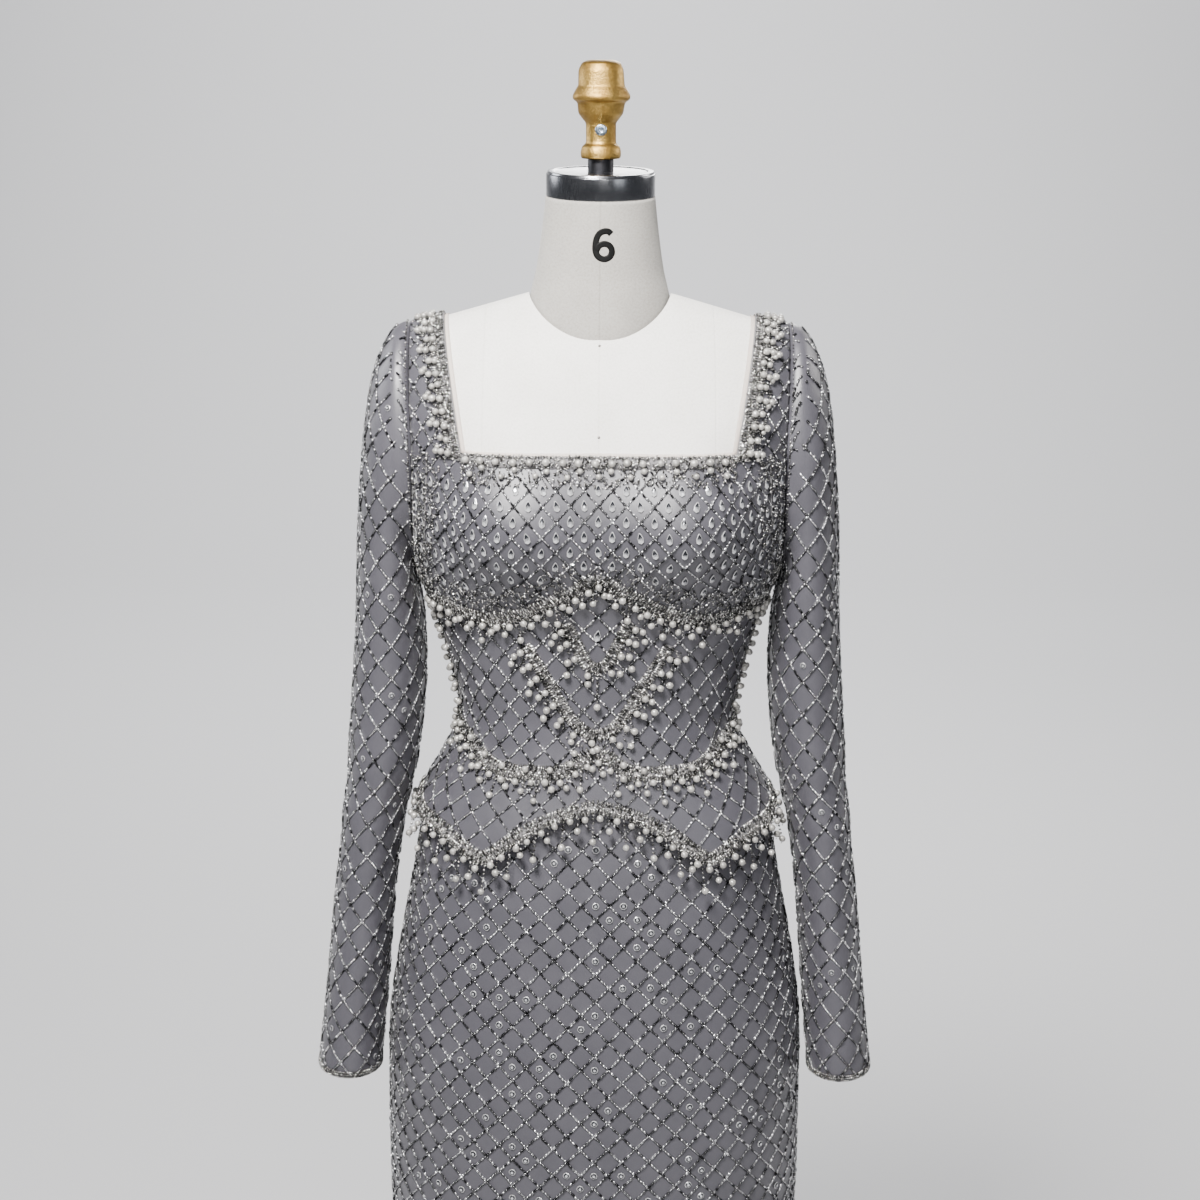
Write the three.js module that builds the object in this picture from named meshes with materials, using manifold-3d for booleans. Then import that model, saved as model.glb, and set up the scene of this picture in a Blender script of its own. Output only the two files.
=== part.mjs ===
// Long-sleeved evening gown with beaded trims, standing on a limbless size 6 dress form.
// Millimetres, +Z up. The gown faces -Y, +X is to the right seen from the front, and the
// origin is the centre of the base's underside on the floor.
import * as THREE from 'three';
import Module from 'manifold-3d';

const wasm = await Module();
wasm.setup();

// Driving sizes of the cloth and of the fit between pieces
const seamGap = 0.3;
const clothWall = 1.6;
const formClearance = 1.0;
const trimClearance = 1.1;
const trimWall = 1.5;
const degree = Math.PI / 180;
const tiny = 0.001;

// Heights on the figure
const chestZ = 1288;
const underarmZ = 1178;
const waistZ = 1040;
const skirtTopZ = 1036;
const hemZ = 12;
const formBottomZ = 730;

// Level sections of the figure from the hem to the neckline: half width, depth in front of and
// behind the side seam, and the exponent of the rounded outline. Below the hip they are the skirt's.
const bodySections = [
  { z: 12, halfWidth: 244, front: 212, back: 226, exponent: 2.0 },
  { z: 100, halfWidth: 222, front: 188, back: 200, exponent: 2.0 },
  { z: 180, halfWidth: 204, front: 168, back: 176, exponent: 2.05 },
  { z: 280, halfWidth: 186, front: 146, back: 152, exponent: 2.1 },
  { z: 380, halfWidth: 178, front: 133, back: 141, exponent: 2.15 },
  { z: 480, halfWidth: 180, front: 130, back: 142, exponent: 2.2 },
  { z: 570, halfWidth: 185, front: 128, back: 146, exponent: 2.25 },
  { z: 700, halfWidth: 186, front: 125, back: 150, exponent: 2.3 },
  { z: 760, halfWidth: 184.5, front: 121, back: 149, exponent: 2.3 },
  { z: 800, halfWidth: 179, front: 117, back: 146, exponent: 2.3 },
  { z: 830, halfWidth: 174, front: 114, back: 143, exponent: 2.3 },
  { z: 870, halfWidth: 166.5, front: 111, back: 140, exponent: 2.28 },
  { z: 908, halfWidth: 159.5, front: 107, back: 133, exponent: 2.25 },
  { z: 946, halfWidth: 153.5, front: 102, back: 123, exponent: 2.22 },
  { z: 965, halfWidth: 147.5, front: 99, back: 117, exponent: 2.2 },
  { z: 984, halfWidth: 138.5, front: 96, back: 111, exponent: 2.15 },
  { z: 1003, halfWidth: 129.5, front: 94, back: 105, exponent: 2.12 },
  { z: 1021, halfWidth: 121.5, front: 92, back: 100, exponent: 2.1 },
  { z: 1040, halfWidth: 118.5, front: 91, back: 97, exponent: 2.1 },
  { z: 1068, halfWidth: 123.5, front: 92, back: 97, exponent: 2.12 },
  { z: 1105, halfWidth: 131.5, front: 94, back: 100, exponent: 2.2 },
  { z: 1141, halfWidth: 142.5, front: 96, back: 104, exponent: 2.3 },
  { z: 1178, halfWidth: 158, front: 99, back: 110, exponent: 2.38 },
  { z: 1210, halfWidth: 165, front: 100, back: 113, exponent: 2.4 },
  { z: 1250, halfWidth: 172, front: 101, back: 114, exponent: 2.4 },
  { z: 1288, halfWidth: 178, front: 100, back: 112, exponent: 2.4 },
];

// The bust: where its fullest points lie, how far they stand forward and how softly they fade
const bustX = 85;
const bustZ = 1222;
const bustHeight = 43;
const bustFade = { inward: 55, outward: 42, up: 46, down: 38 };

// Shoulder line over the figure, from the neck out, and the arches that climb to it
const shoulderLine = [
  { x: 0, z: 1424 },
  { x: 62, z: 1414 },
  { x: 138, z: 1392 },
  { x: 165, z: 1386 },
];
const archDepthPower = 1.5;
const archHeightPower = 1.8;

// The armhole lies in an upright plane; straps lean outwards above the chest
const armholeX = 158;
const strapInnerX = 114;
const strapInnerLean = 22;
const strapOuterLean = 5;
const columnsPerSide = 10;
const strapInnerColumn = 6;

// How far the bodice lies off the figure: close above the waist, over the skirt below it
const bodiceOffsets = { snugZ: 1054, snug: formClearance, overSkirt: 3.2, flare: 0.076 };

// Below the hip the torso draws in from the skirt's line
const torsoDrawIn = [
  { z: 730, inset: 11 },
  { z: 800, inset: 4 },
  { z: 850, inset: 0 },
];

// Soft flutes of the skirt's hem
const fluteTopZ = 420;
const fluteDepth = 6;
const flutesAround = 10;

// Peplum hem round the figure, turn in degrees from the centre front
const peplumHem = [
  { turn: 0, z: 974 },
  { turn: 8, z: 968 },
  { turn: 17, z: 956 },
  { turn: 26, z: 938 },
  { turn: 34, z: 924 },
  { turn: 42, z: 930 },
  { turn: 54, z: 941 },
  { turn: 72, z: 947 },
  { turn: 90, z: 957 },
  { turn: 108, z: 947 },
  { turn: 126, z: 941 },
  { turn: 138, z: 931 },
  { turn: 146, z: 926 },
  { turn: 154, z: 938 },
  { turn: 163, z: 953 },
  { turn: 180, z: 966 },
];

// Reads a value of a table smoothly between its rows, which run upwards in key
function smoothAt(table, key, at, value) {
  const last = table.length - 1;
  const place = Math.min(Math.max(at, table[0][key]), table[last][key]);
  let i = 0;
  while (i < last - 1 && place > table[i + 1][key]) i += 1;
  const slope = (j) => {
    const before = table[Math.max(j - 1, 0)];
    const after = table[Math.min(j + 1, last)];
    return (after[value] - before[value]) / (after[key] - before[key]);
  };
  const span = table[i + 1][key] - table[i][key];
  const s = (place - table[i][key]) / span;
  const rise = s * s * (3 - 2 * s);
  const leave = s * (1 - s) * (1 - s) * span * slope(i);
  const arrive = s * s * (s - 1) * span * slope(i + 1);
  return table[i][value] * (1 - rise) + table[i + 1][value] * rise + leave + arrive;
}

// Reads a value on straight lines between a table's rows
function straightAt(table, key, at, value) {
  const last = table.length - 1;
  const place = Math.min(Math.max(at, table[0][key]), table[last][key]);
  let i = 0;
  while (i < last - 1 && place > table[i + 1][key]) i += 1;
  const s = (place - table[i][key]) / (table[i + 1][key] - table[i][key]);
  return table[i][value] * (1 - s) + table[i + 1][value] * s;
}

function sectionAt(z) {
  const at = (name) => smoothAt(bodySections, 'z', z, name);
  return {
    halfWidth: at('halfWidth'),
    front: at('front'),
    back: at('back'),
    exponent: at('exponent'),
  };
}

function bustRise(x, z) {
  const high = (z - bustZ) / (z > bustZ ? bustFade.up : bustFade.down);
  let rise = 0;
  for (const side of [-1, 1]) {
    const away = side * x - bustX;
    const wide = away / (away > 0 ? bustFade.outward : bustFade.inward);
    rise += bustHeight * Math.exp(-(wide * wide + high * high) / 2);
  }
  return rise;
}

// How far a strap or armhole that starts at x on the chest leans out by the shoulder line
function strapLean(x) {
  if (x < strapInnerX) return strapInnerLean * x / strapInnerX;
  const along = (x - strapInnerX) / (armholeX - strapInnerX);
  return strapInnerLean + (strapOuterLean - strapInnerLean) * along;
}

// A point of the figure. turn is in degrees from the centre front towards +X; a row is a height z
// up to the chest, or above it a rise from 0 at the chest to 1 on the shoulder line.
function bodyPoint(turn, row) {
  const arch = row.rise !== undefined;
  const section = sectionAt(arch ? chestZ : row.z);
  const side = Math.sin(turn * degree);
  const ahead = Math.cos(turn * degree);
  const along = Math.abs(ahead) ** (2 / section.exponent);
  let x = section.halfWidth * Math.sign(side) * Math.abs(side) ** (2 / section.exponent);
  let z = row.z;
  let drawn = 1;
  if (arch) {
    const climb = Math.sin(row.rise * 90 * degree) ** (2 / archHeightPower);
    x += Math.sign(x) * strapLean(Math.abs(x)) * climb;
    z = chestZ + (straightAt(shoulderLine, 'x', Math.abs(x), 'z') - chestZ) * climb;
    drawn = row.rise >= 1 ? 0 : Math.cos(row.rise * 90 * degree) ** (2 / archDepthPower);
  }
  const depth = ahead > 0 ? section.front + bustRise(x, z) : section.back;
  return new THREE.Vector3(x, -Math.sign(ahead) * depth * along * drawn, z);
}

// Outward normal of the figure, from points this far to each side of the place
const normalStep = { turn: 0.4, rise: 0.02, z: 1.5 };

function bodyNormal(turn, row) {
  const across = bodyPoint(turn + normalStep.turn, row).sub(bodyPoint(turn - normalStep.turn, row));
  let upper = row;
  let lower = row;
  if (row.rise !== undefined) {
    upper = { rise: Math.min(row.rise + normalStep.rise, 1) };
    lower = { rise: Math.max(row.rise - normalStep.rise, tiny) };
  } else {
    upper = { z: Math.min(row.z + normalStep.z, chestZ) };
    lower = { z: row.z - normalStep.z };
  }
  const upward = bodyPoint(turn, upper).sub(bodyPoint(turn, lower));
  const normal = across.cross(upward);
  if (row.rise === 1) normal.y = 0;
  return normal.normalize();
}

function flute(turn, z) {
  const low = Math.max((fluteTopZ - z) / (fluteTopZ - hemZ), 0);
  return fluteDepth * low * low * Math.cos(flutesAround * turn * degree);
}

function surfacePoint(turn, row, offset) {
  const off = row.rise === undefined ? offset + flute(turn, row.z) : offset;
  return bodyPoint(turn, row).addScaledVector(bodyNormal(turn, row), off);
}

// Inside of the bodice at a row
function bodiceOffset(row) {
  const { snugZ, snug, overSkirt, flare } = bodiceOffsets;
  if (row.rise !== undefined || row.z >= snugZ) return snug;
  if (row.z < waistZ) return overSkirt + flare * (waistZ - row.z);
  return overSkirt + (snug - overSkirt) * (row.z - waistZ) / (snugZ - waistZ);
}

// Turn of the armhole's edge at a row, 90 below the underarm
function edgeTurn(row) {
  const section = sectionAt(row.rise === undefined ? row.z : chestZ);
  if (row.rise === undefined && row.z <= underarmZ) return 90;
  return Math.asin(Math.min((armholeX / section.halfWidth) ** (section.exponent / 2), 1)) / degree;
}

// Turn on the chest or any lower height for a distance x from the centre line
function turnAt(x, z) {
  const section = sectionAt(z);
  const part = Math.min(Math.abs(x) / section.halfWidth, 1);
  return Math.sign(x) * Math.asin(part ** (section.exponent / 2)) / degree;
}

// Turns loose triangles into a geometry that faces outwards
function solidGeometry(points, triangles) {
  let volume = 0;
  for (const [a, b, c] of triangles) {
    volume += points[a].dot(new THREE.Vector3().crossVectors(points[b], points[c]));
  }
  const faces = volume < 0 ? triangles.map(([a, b, c]) => [a, c, b]) : triangles;
  const geometry = new THREE.BufferGeometry();
  const places = points.flatMap((point) => point.toArray());
  geometry.setAttribute('position', new THREE.Float32BufferAttribute(places, 3));
  geometry.setIndex(faces.flat());
  geometry.computeVertexNormals();
  return geometry;
}

// Says which diagonal of a cell to split it along, as a rule that reorders the cell's corners
function shorterDiagonal(a, b, c, d) {
  const keep = a.distanceTo(c) <= b.distanceTo(d) + 0.01;
  return (corners) => (keep ? corners : [...corners.slice(1), corners[0]]);
}

// The same cell seen from behind, split along the same diagonal
function facingBack([a, b, c, d]) {
  return [a, d, c, b];
}

// A wall between an outer and an inner grid of points. Cells that kept refuses are left open, and
// every edge of what is left gets a rim. A round wall's last column meets its first.
function wallGeometry(outer, inner, { kept = () => true, round = false, drops = () => null } = {}) {
  const rows = outer.length;
  const columns = outer[0].length;
  const points = [];
  const numbers = new Map();
  const vertex = (layer, i, j) => {
    const column = round ? j % columns : j;
    const name = `${layer} ${i} ${column}`;
    if (!numbers.has(name)) {
      numbers.set(name, points.length);
      points.push((layer ? inner : outer)[i][column]);
    }
    return numbers.get(name);
  };
  const cells = round ? columns : columns - 1;
  const has = (i, j) => {
    const column = round ? (j + cells) % cells : j;
    return i >= 0 && i < rows - 1 && column >= 0 && column < cells && kept(i, column);
  };
  const triangles = [];
  const quad = (a, b, c, d) => triangles.push([a, b, c], [a, c, d]);
  for (let i = 0; i < rows - 1; i += 1) {
    for (let j = 0; j < cells; j += 1) {
      if (!has(i, j)) continue;
      const out = [vertex(0, i, j), vertex(0, i, j + 1), vertex(0, i + 1, j + 1), vertex(0, i + 1, j)];
      const back = [vertex(1, i, j), vertex(1, i, j + 1), vertex(1, i + 1, j + 1), vertex(1, i + 1, j)];
      const turned = shorterDiagonal(...out.map((k) => points[k]));
      quad(...turned(out));
      quad(...facingBack(turned(back)));
      const neighbours = [has(i - 1, j), has(i, j + 1), has(i + 1, j), has(i, j - 1)];
      neighbours.forEach((there, side) => {
        if (there) return;
        const next = (side + 1) % 4;
        const rings = side === 0 ? drops(i, j) : null;
        if (!rings) {
          quad(out[next], out[side], back[side], back[next]);
          return;
        }
        let ring = [out[side], back[side], back[next], out[next]];
        for (const shape of rings.slice(0, -1)) {
          const lower = shape.map((point) => points.push(point) - 1);
          for (let k = 0; k < 4; k += 1) {
            const m = (k + 1) % 4;
            quad(ring[k], ring[m], lower[m], lower[k]);
          }
          ring = lower;
        }
        const tip = points.push(rings.at(-1)) - 1;
        for (let k = 0; k < 4; k += 1) triangles.push([ring[k], ring[(k + 1) % 4], tip]);
      });
    }
  }
  return solidGeometry(points, triangles);
}

// A solid through closed rings of points, with a flat or pointed end at each side
function loftGeometry(rings) {
  const around = rings[0].length;
  const points = rings.flat();
  const triangles = [];
  for (let i = 0; i < rings.length - 1; i += 1) {
    for (let k = 0; k < around; k += 1) {
      const a = i * around + k;
      const b = i * around + (k + 1) % around;
      triangles.push([a, b, b + around], [a, b + around, a + around]);
    }
  }
  for (const [first, flip] of [[0, true], [(rings.length - 1) * around, false]]) {
    for (let k = 1; k < around - 1; k += 1) {
      const end = [first, first + k, first + k + 1];
      triangles.push(flip ? end.reverse() : end);
    }
  }
  return solidGeometry(points, triangles);
}

function toManifold(geometry) {
  const position = geometry.getAttribute('position');
  return new wasm.Manifold(new wasm.Mesh({
    numProp: 3,
    vertProperties: new Float32Array(position.array),
    triVerts: new Uint32Array(geometry.index.array),
  }));
}

function toGeometry(manifold) {
  const mesh = manifold.getMesh();
  const geometry = new THREE.BufferGeometry();
  geometry.setAttribute('position', new THREE.Float32BufferAttribute(mesh.vertProperties, 3));
  geometry.setIndex(Array.from(mesh.triVerts));
  geometry.computeVertexNormals();
  return geometry;
}

// Finishes
const beadedCloth = { color: 0x9a99a3, roughness: 0.55, metalness: 0.15 };
const pearlTrim = { color: 0xc9c6c2, roughness: 0.3, metalness: 0.2 };
const linen = { color: 0xe9e4da, roughness: 0.9, metalness: 0 };
const neckLinen = { color: 0xb9b3a8, roughness: 0.9, metalness: 0 };
const darkMetal = { color: 0x3c3e43, roughness: 0.25, metalness: 1 };
const castBrass = { color: 0x9c7a3c, roughness: 0.45, metalness: 1 };
const zinc = { color: 0x9fb0c0, roughness: 0.3, metalness: 1 };
const zipTape = { color: 0x8f8e98, roughness: 0.6, metalness: 0.1 };
const darkIron = { color: 0x2c2d30, roughness: 0.5, metalness: 0.8 };

const gown = new THREE.Group();

function addPiece(name, geometry, finish) {
  const mesh = new THREE.Mesh(geometry, new THREE.MeshStandardMaterial(finish));
  mesh.name = name;
  gown.add(mesh);
  return mesh;
}

// Rows shared by the torso and the bodice, so that they bend at the same heights
const bodiceRows = [
  waistZ, 1054, 1070, 1086, 1105, 1123, 1141, 1160, underarmZ, 1190, 1210, 1234, 1256, 1276, chestZ,
].map((z) => ({ z }));
const strapRows = [0.25, 0.5, 0.75, 1].map((rise) => ({ rise }));
const underarmRow = bodiceRows.findIndex((row) => row.z === underarmZ);
const peplumSteps = 5;

// Column w runs from -1 at one side seam to 1 at the other, 0 on the centre line; back panels
// take it from the centre back
function columnTurn(w, row, back) {
  const turn = w * edgeTurn(row);
  return back ? (w < 0 ? -180 : 180) - turn : turn;
}

// Heights of a peplum's row at a turn, from its hem up to the waist
function peplumRow(turn, step) {
  const hem = smoothAt(peplumHem, 'turn', Math.abs(turn), 'z');
  return { z: hem + (waistZ - hem) * step / peplumSteps };
}

// Pulls the points of a panel's edges apart, so that neighbours keep the seam gap
function partSeams(point, w, row, back) {
  const half = seamGap / 2;
  const atSide = Math.abs(w) === 1 && row.rise === undefined && row.z <= underarmZ;
  if (atSide || row.rise === 1) point.y = back ? half : -half;
  return point;
}

// Bodice panels: columns of the figure from the peplum's hem to the neckline and the straps
function bodicePanel(columns, back, centreEdge) {
  const rows = [];
  for (let step = 0; step < peplumSteps; step += 1) rows.push({ step });
  rows.push(...bodiceRows, ...strapRows);
  const layer = (extra) => rows.map((entry) => columns.map((w) => {
    const turn = columnTurn(w, entry.step === undefined ? entry : { z: waistZ }, back);
    const row = entry.step === undefined ? entry : peplumRow(turn, entry.step);
    const point = surfacePoint(turn, row, bodiceOffset(row) + extra);
    if (w === 0 && back) point.x = centreEdge;
    return partSeams(point, w, row, back);
  }));
  const neckline = back ? peplumSteps + bodiceRows.length : peplumSteps + bodiceRows.length - 1;
  const strap = strapInnerColumn / columnsPerSide;
  const kept = (i, j) => {
    const inner = Math.min(Math.abs(columns[j]), Math.abs(columns[j + 1]));
    return i < neckline || inner > strap - tiny;
  };
  return wallGeometry(layer(clothWall), layer(0), { kept });
}

const zipHalf = 1.3;
const fullColumns = Array.from(
  { length: 2 * columnsPerSide + 1 },
  (_, k) => (k - columnsPerSide) / columnsPerSide,
);
const halfColumns = fullColumns.filter((w) => w >= 0);
addPiece('bodice_front', bodicePanel(fullColumns, false, 0), beadedCloth);
for (const [name, side] of [['left', -1], ['right', 1]]) {
  const columns = halfColumns.map((w) => side * w);
  addPiece(`bodice_back_${name}`, bodicePanel(columns, true, side * (zipHalf + seamGap)), beadedCloth);
}

// Skirt panels: from the waist seam under the peplum down to the hem
const skirtRows = [
  hemZ, 70, 140, 220, 310, 410, 530, 650, 740, 800, 850, 900, 946, 984, 1003, 1021, skirtTopZ,
].map((z) => ({ z }));

function skirtPanel(columns, back) {
  const layer = (offset) => skirtRows.map((row) => columns.map((w) => {
    const point = surfacePoint(columnTurn(w, { z: waistZ }, back), row, offset);
    if (w === 0 && back) point.x = Math.sign(columns.at(-1)) * seamGap / 2;
    return partSeams(point, w, row, back);
  }));
  return wallGeometry(layer(formClearance + clothWall), layer(formClearance));
}

addPiece('skirt_front', skirtPanel(fullColumns, false), beadedCloth);
for (const [name, side] of [['left', -1], ['right', 1]]) {
  addPiece(`skirt_back_${name}`, skirtPanel(halfColumns.map((w) => side * w), true), beadedCloth);
}

// Sleeves: rings from the armhole's own edge down to the cuff. Each ring is an oval between an
// outer and an inner point seen from the front, with half its depth front to back.
const sleeveRings = [
  { outerX: 174, outerZ: 1386, innerX: 162.5, innerZ: 1175, halfDepth: 61, midY: 1 },
  { outerX: 187, outerZ: 1368, innerX: 163.5, innerZ: 1171, halfDepth: 61, midY: 1 },
  { outerX: 198, outerZ: 1335, innerX: 163, innerZ: 1165, halfDepth: 60, midY: 1 },
  { outerX: 205.5, outerZ: 1280, innerX: 160, innerZ: 1157, halfDepth: 58, midY: 1 },
  { outerX: 211, outerZ: 1210, innerX: 157.5, innerZ: 1145, halfDepth: 56, midY: 2 },
  { outerX: 214, outerZ: 1140, innerX: 155, innerZ: 1124, halfDepth: 54, midY: 3 },
  { outerX: 218, outerZ: 1070, innerX: 154, innerZ: 1068, halfDepth: 52, midY: 4 },
  { outerX: 223, outerZ: 1005, innerX: 160.5, innerZ: 1005, halfDepth: 50, midY: 4 },
  { outerX: 231, outerZ: 927, innerX: 177, innerZ: 927, halfDepth: 48, midY: 2 },
  { outerX: 241, outerZ: 830, innerX: 187, innerZ: 830, halfDepth: 45, midY: -3 },
  { outerX: 249, outerZ: 752, innerX: 193.5, innerZ: 752, halfDepth: 42, midY: -8 },
  { outerX: 253.5, outerZ: 706, innerX: 197.5, innerZ: 704, halfDepth: 40, midY: -11 },
];

// Rows of the armhole from the shoulder down to the underarm
const armholeRows = [...bodiceRows.slice(underarmRow), ...strapRows].reverse();
const armholeSteps = armholeRows.length - 1;

// The sleeve stands this far off the armhole's edge at the shoulder, and this much more at the
// underarm, where it laps outside the bodice
const armholeGap = 0.35;
const underarmLap = clothWall + 0.05;

// Points of the armhole's edge down its front and up its back, set off towards the sleeve
function armholeRing(side, extra) {
  const stand = (row) => {
    const low = row.rise === undefined ? (chestZ - row.z) / (chestZ - underarmZ) : 0;
    return armholeGap + underarmLap * low * low;
  };
  const edge = (row, back) => {
    const point = surfacePoint(columnTurn(side, row, back), row, formClearance + extra);
    if (row.rise === 1 || row.z === underarmZ) point.y = 0;
    point.x += side * stand(row);
    return point;
  };
  const front = armholeRows.map((row) => edge(row, false));
  const behind = armholeRows.slice(1, -1).reverse().map((row) => edge(row, true));
  return front.concat(behind);
}

function sleeveLayer(side, inset) {
  const around = 2 * armholeSteps;
  const ovals = sleeveRings.map((ring) => {
    const outer = new THREE.Vector3(side * ring.outerX, 0, ring.outerZ);
    const inner = new THREE.Vector3(side * ring.innerX, 0, ring.innerZ);
    const centre = outer.clone().add(inner).multiplyScalar(0.5);
    const half = outer.clone().sub(centre);
    half.setLength(half.length() - inset);
    return Array.from({ length: around }, (_, k) => {
      const round = (k / around) * 2 * Math.PI;
      const point = centre.clone().addScaledVector(half, Math.cos(round));
      point.y = ring.midY - (ring.halfDepth - inset) * Math.sin(round);
      return point;
    });
  });
  return [armholeRing(side, clothWall - inset), ...ovals];
}

for (const [name, side] of [['left', -1], ['right', 1]]) {
  const geometry = wallGeometry(sleeveLayer(side, 0), sleeveLayer(side, clothWall), { round: true });
  addPiece(`sleeve_${name}`, geometry, beadedCloth);
}

// Centre back zip: tape and coil between the back panels, standing a little proud of them, with
// its slider and pull tab
const coilProud = 0.5;
const sliderFootRow = { rise: 0.12 };
const sliderRow = { rise: 0.17 };
const zipRows = [];
for (let step = 0; step < peplumSteps; step += 1) zipRows.push(peplumRow(180, step));
zipRows.push(...bodiceRows, sliderFootRow, strapRows[0]);
const zipLayer = (extra) => zipRows.map((row) => [-zipHalf, zipHalf].map((x) => {
  const point = surfacePoint(180, row, bodiceOffset(row) + extra);
  point.x = x;
  return point;
}));
addPiece('zip', wallGeometry(zipLayer(clothWall + coilProud), zipLayer(0)), zipTape);

const sliderSize = new THREE.Vector3(8, 10, 2.2);
const earSize = new THREE.Vector3(1.2, 3.2, 3.4);
const earCentreX = 2.9;
const earSunk = 0.2;
const pullAxisHeight = 1.8;
const pullThickness = 1.2;
const sliderSeat = formClearance + clothWall + coilProud + seamGap;

// Axes of the slider on the cloth: x across, y up the back, z out of the cloth
const sliderOut = bodyNormal(180, sliderRow);
sliderOut.x = 0;
sliderOut.normalize();
const sliderUp = new THREE.Vector3(0, -sliderOut.z, sliderOut.y);
const sliderAcross = new THREE.Vector3().crossVectors(sliderUp, sliderOut);
const sliderTurn = new THREE.Quaternion().setFromRotationMatrix(
  new THREE.Matrix4().makeBasis(sliderAcross, sliderUp, sliderOut),
);
const sliderPlace = surfacePoint(180, sliderRow, sliderSeat);
sliderPlace.x = 0;

function placedBox(size, x, y, z) {
  const box = new THREE.BoxGeometry(size.x, size.y, size.z).translate(x, y, z + size.z / 2);
  box.deleteAttribute('normal');
  box.deleteAttribute('uv');
  return toManifold(mergeCorners(box));
}

// Joins the corners of a geometry that share a place
function mergeCorners(geometry) {
  const position = geometry.getAttribute('position');
  const places = new Map();
  const points = [];
  const numberOf = (k) => {
    const point = new THREE.Vector3().fromBufferAttribute(position, k);
    const name = point.toArray().map((v) => Math.round(v * 10000) + 0).join(' ');
    if (!places.has(name)) places.set(name, points.push(point) - 1);
    return places.get(name);
  };
  const order = geometry.index
    ? Array.from(geometry.index.array)
    : Array.from({ length: position.count }, (_, k) => k);
  const triangles = [];
  for (let k = 0; k < order.length; k += 3) {
    const corners = [numberOf(order[k]), numberOf(order[k + 1]), numberOf(order[k + 2])];
    if (new Set(corners).size === 3) triangles.push(corners);
  }
  return solidGeometry(points, triangles);
}

let slider = placedBox(sliderSize, 0, 0, 0);
for (const side of [-1, 1]) {
  slider = slider.add(placedBox(earSize, side * earCentreX, 0, sliderSize.z - earSunk));
}
const sliderMesh = addPiece('zip_slider', toGeometry(slider), zinc);

// The pull's outline hangs from its neck between the ears
const pullShape = new THREE.Shape();
const neckTop = 1;
const neckHalf = 1.8;
const neckBottom = -3.6;
const tabHalf = 3;
const tabTop = -5.6;
const tabBottom = -19;
pullShape.moveTo(neckHalf, neckTop);
pullShape.lineTo(-neckHalf, neckTop);
pullShape.lineTo(-neckHalf, neckBottom);
pullShape.lineTo(-tabHalf, tabTop);
pullShape.lineTo(-tabHalf, tabBottom);
pullShape.absarc(0, tabBottom, tabHalf, Math.PI, 2 * Math.PI, false);
pullShape.lineTo(tabHalf, tabTop);
pullShape.lineTo(neckHalf, neckBottom);
pullShape.closePath();
const pullGeometry = new THREE.ExtrudeGeometry(pullShape, {
  depth: pullThickness,
  bevelEnabled: false,
  curveSegments: 6,
});
pullGeometry.translate(0, 0, sliderSize.z + pullAxisHeight - pullThickness / 2);
const pullMesh = addPiece('zip_pull', mergeCorners(pullGeometry), zinc);
for (const mesh of [sliderMesh, pullMesh]) {
  mesh.position.copy(sliderPlace);
  mesh.quaternion.copy(sliderTurn);
}

// A beaded trim: a narrow backing strip along a line on the bodice, with a tapering beaded drop
// under each of its cells. Line rows give the strip's lower edge as x and z on the figure, or as
// turn and z; drops alternate between two lengths.
const pearlWide = 5.6;
const pearlDeep = 5;
const pearlTall = 6;
const strandWide = 0.35;
const strandOut = 0.3;
const shortestStrand = 1.6 * pearlTall;
const millimetresPerDegree = 2.6;

function trimGeometry(line, { cells, width, back = false, drop, longDrop = drop }) {
  const route = new THREE.CatmullRomCurve3(line.map((entry) => {
    const turn = entry.turn === undefined ? turnAt(entry.x, entry.z) : entry.turn;
    return new THREE.Vector3((back ? 180 - turn : turn) * millimetresPerDegree, 0, entry.z);
  }), false, 'centripetal');
  const stations = route.getSpacedPoints(cells)
    .map((point) => ({ turn: point.x / millimetresPerDegree, z: point.z }));
  const seat = ({ z }) => bodiceOffset({ z }) + clothWall + trimClearance;
  const layer = (extra) => [0, width].map((up) => stations.map((at) => (
    surfacePoint(at.turn, { z: at.z + up }, seat(at) + extra)
  )));
  const drops = (i, j) => {
    const left = stations[j];
    const right = stations[j + 1];
    const turn = (left.turn + right.turn) / 2;
    const rootZ = (left.z + right.z) / 2;
    const length = j % 2 ? longDrop : drop;
    const offset = seat({ z: rootZ });
    const spread = Math.sign(right.turn - left.turn) * (pearlWide / 2) / millimetresPerDegree;
    const ring = (z, wide, near, far) => [[-wide, far], [-wide, near], [wide, near], [wide, far]]
      .map(([part, out]) => surfacePoint(turn + part * spread, { z }, offset + out));
    const rings = [];
    if (length > shortestStrand) {
      rings.push(ring(rootZ - length + pearlTall, strandWide, strandOut, trimWall));
    }
    rings.push(ring(rootZ - length + pearlTall / 2, 1, 0, pearlDeep));
    rings.push(surfacePoint(turn, { z: rootZ - length }, offset + pearlDeep / 2));
    return rings;
  };
  return wallGeometry(layer(trimWall), layer(0), { drops });
}

// The same line on both sides of the centre front
function mirrored(line) {
  const left = line.filter(({ x, turn }) => (x ?? turn) > 0)
    .map(({ x, turn, z }) => ({ x: x && -x, turn: turn && -turn, z }));
  return left.reverse().concat(line);
}

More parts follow.
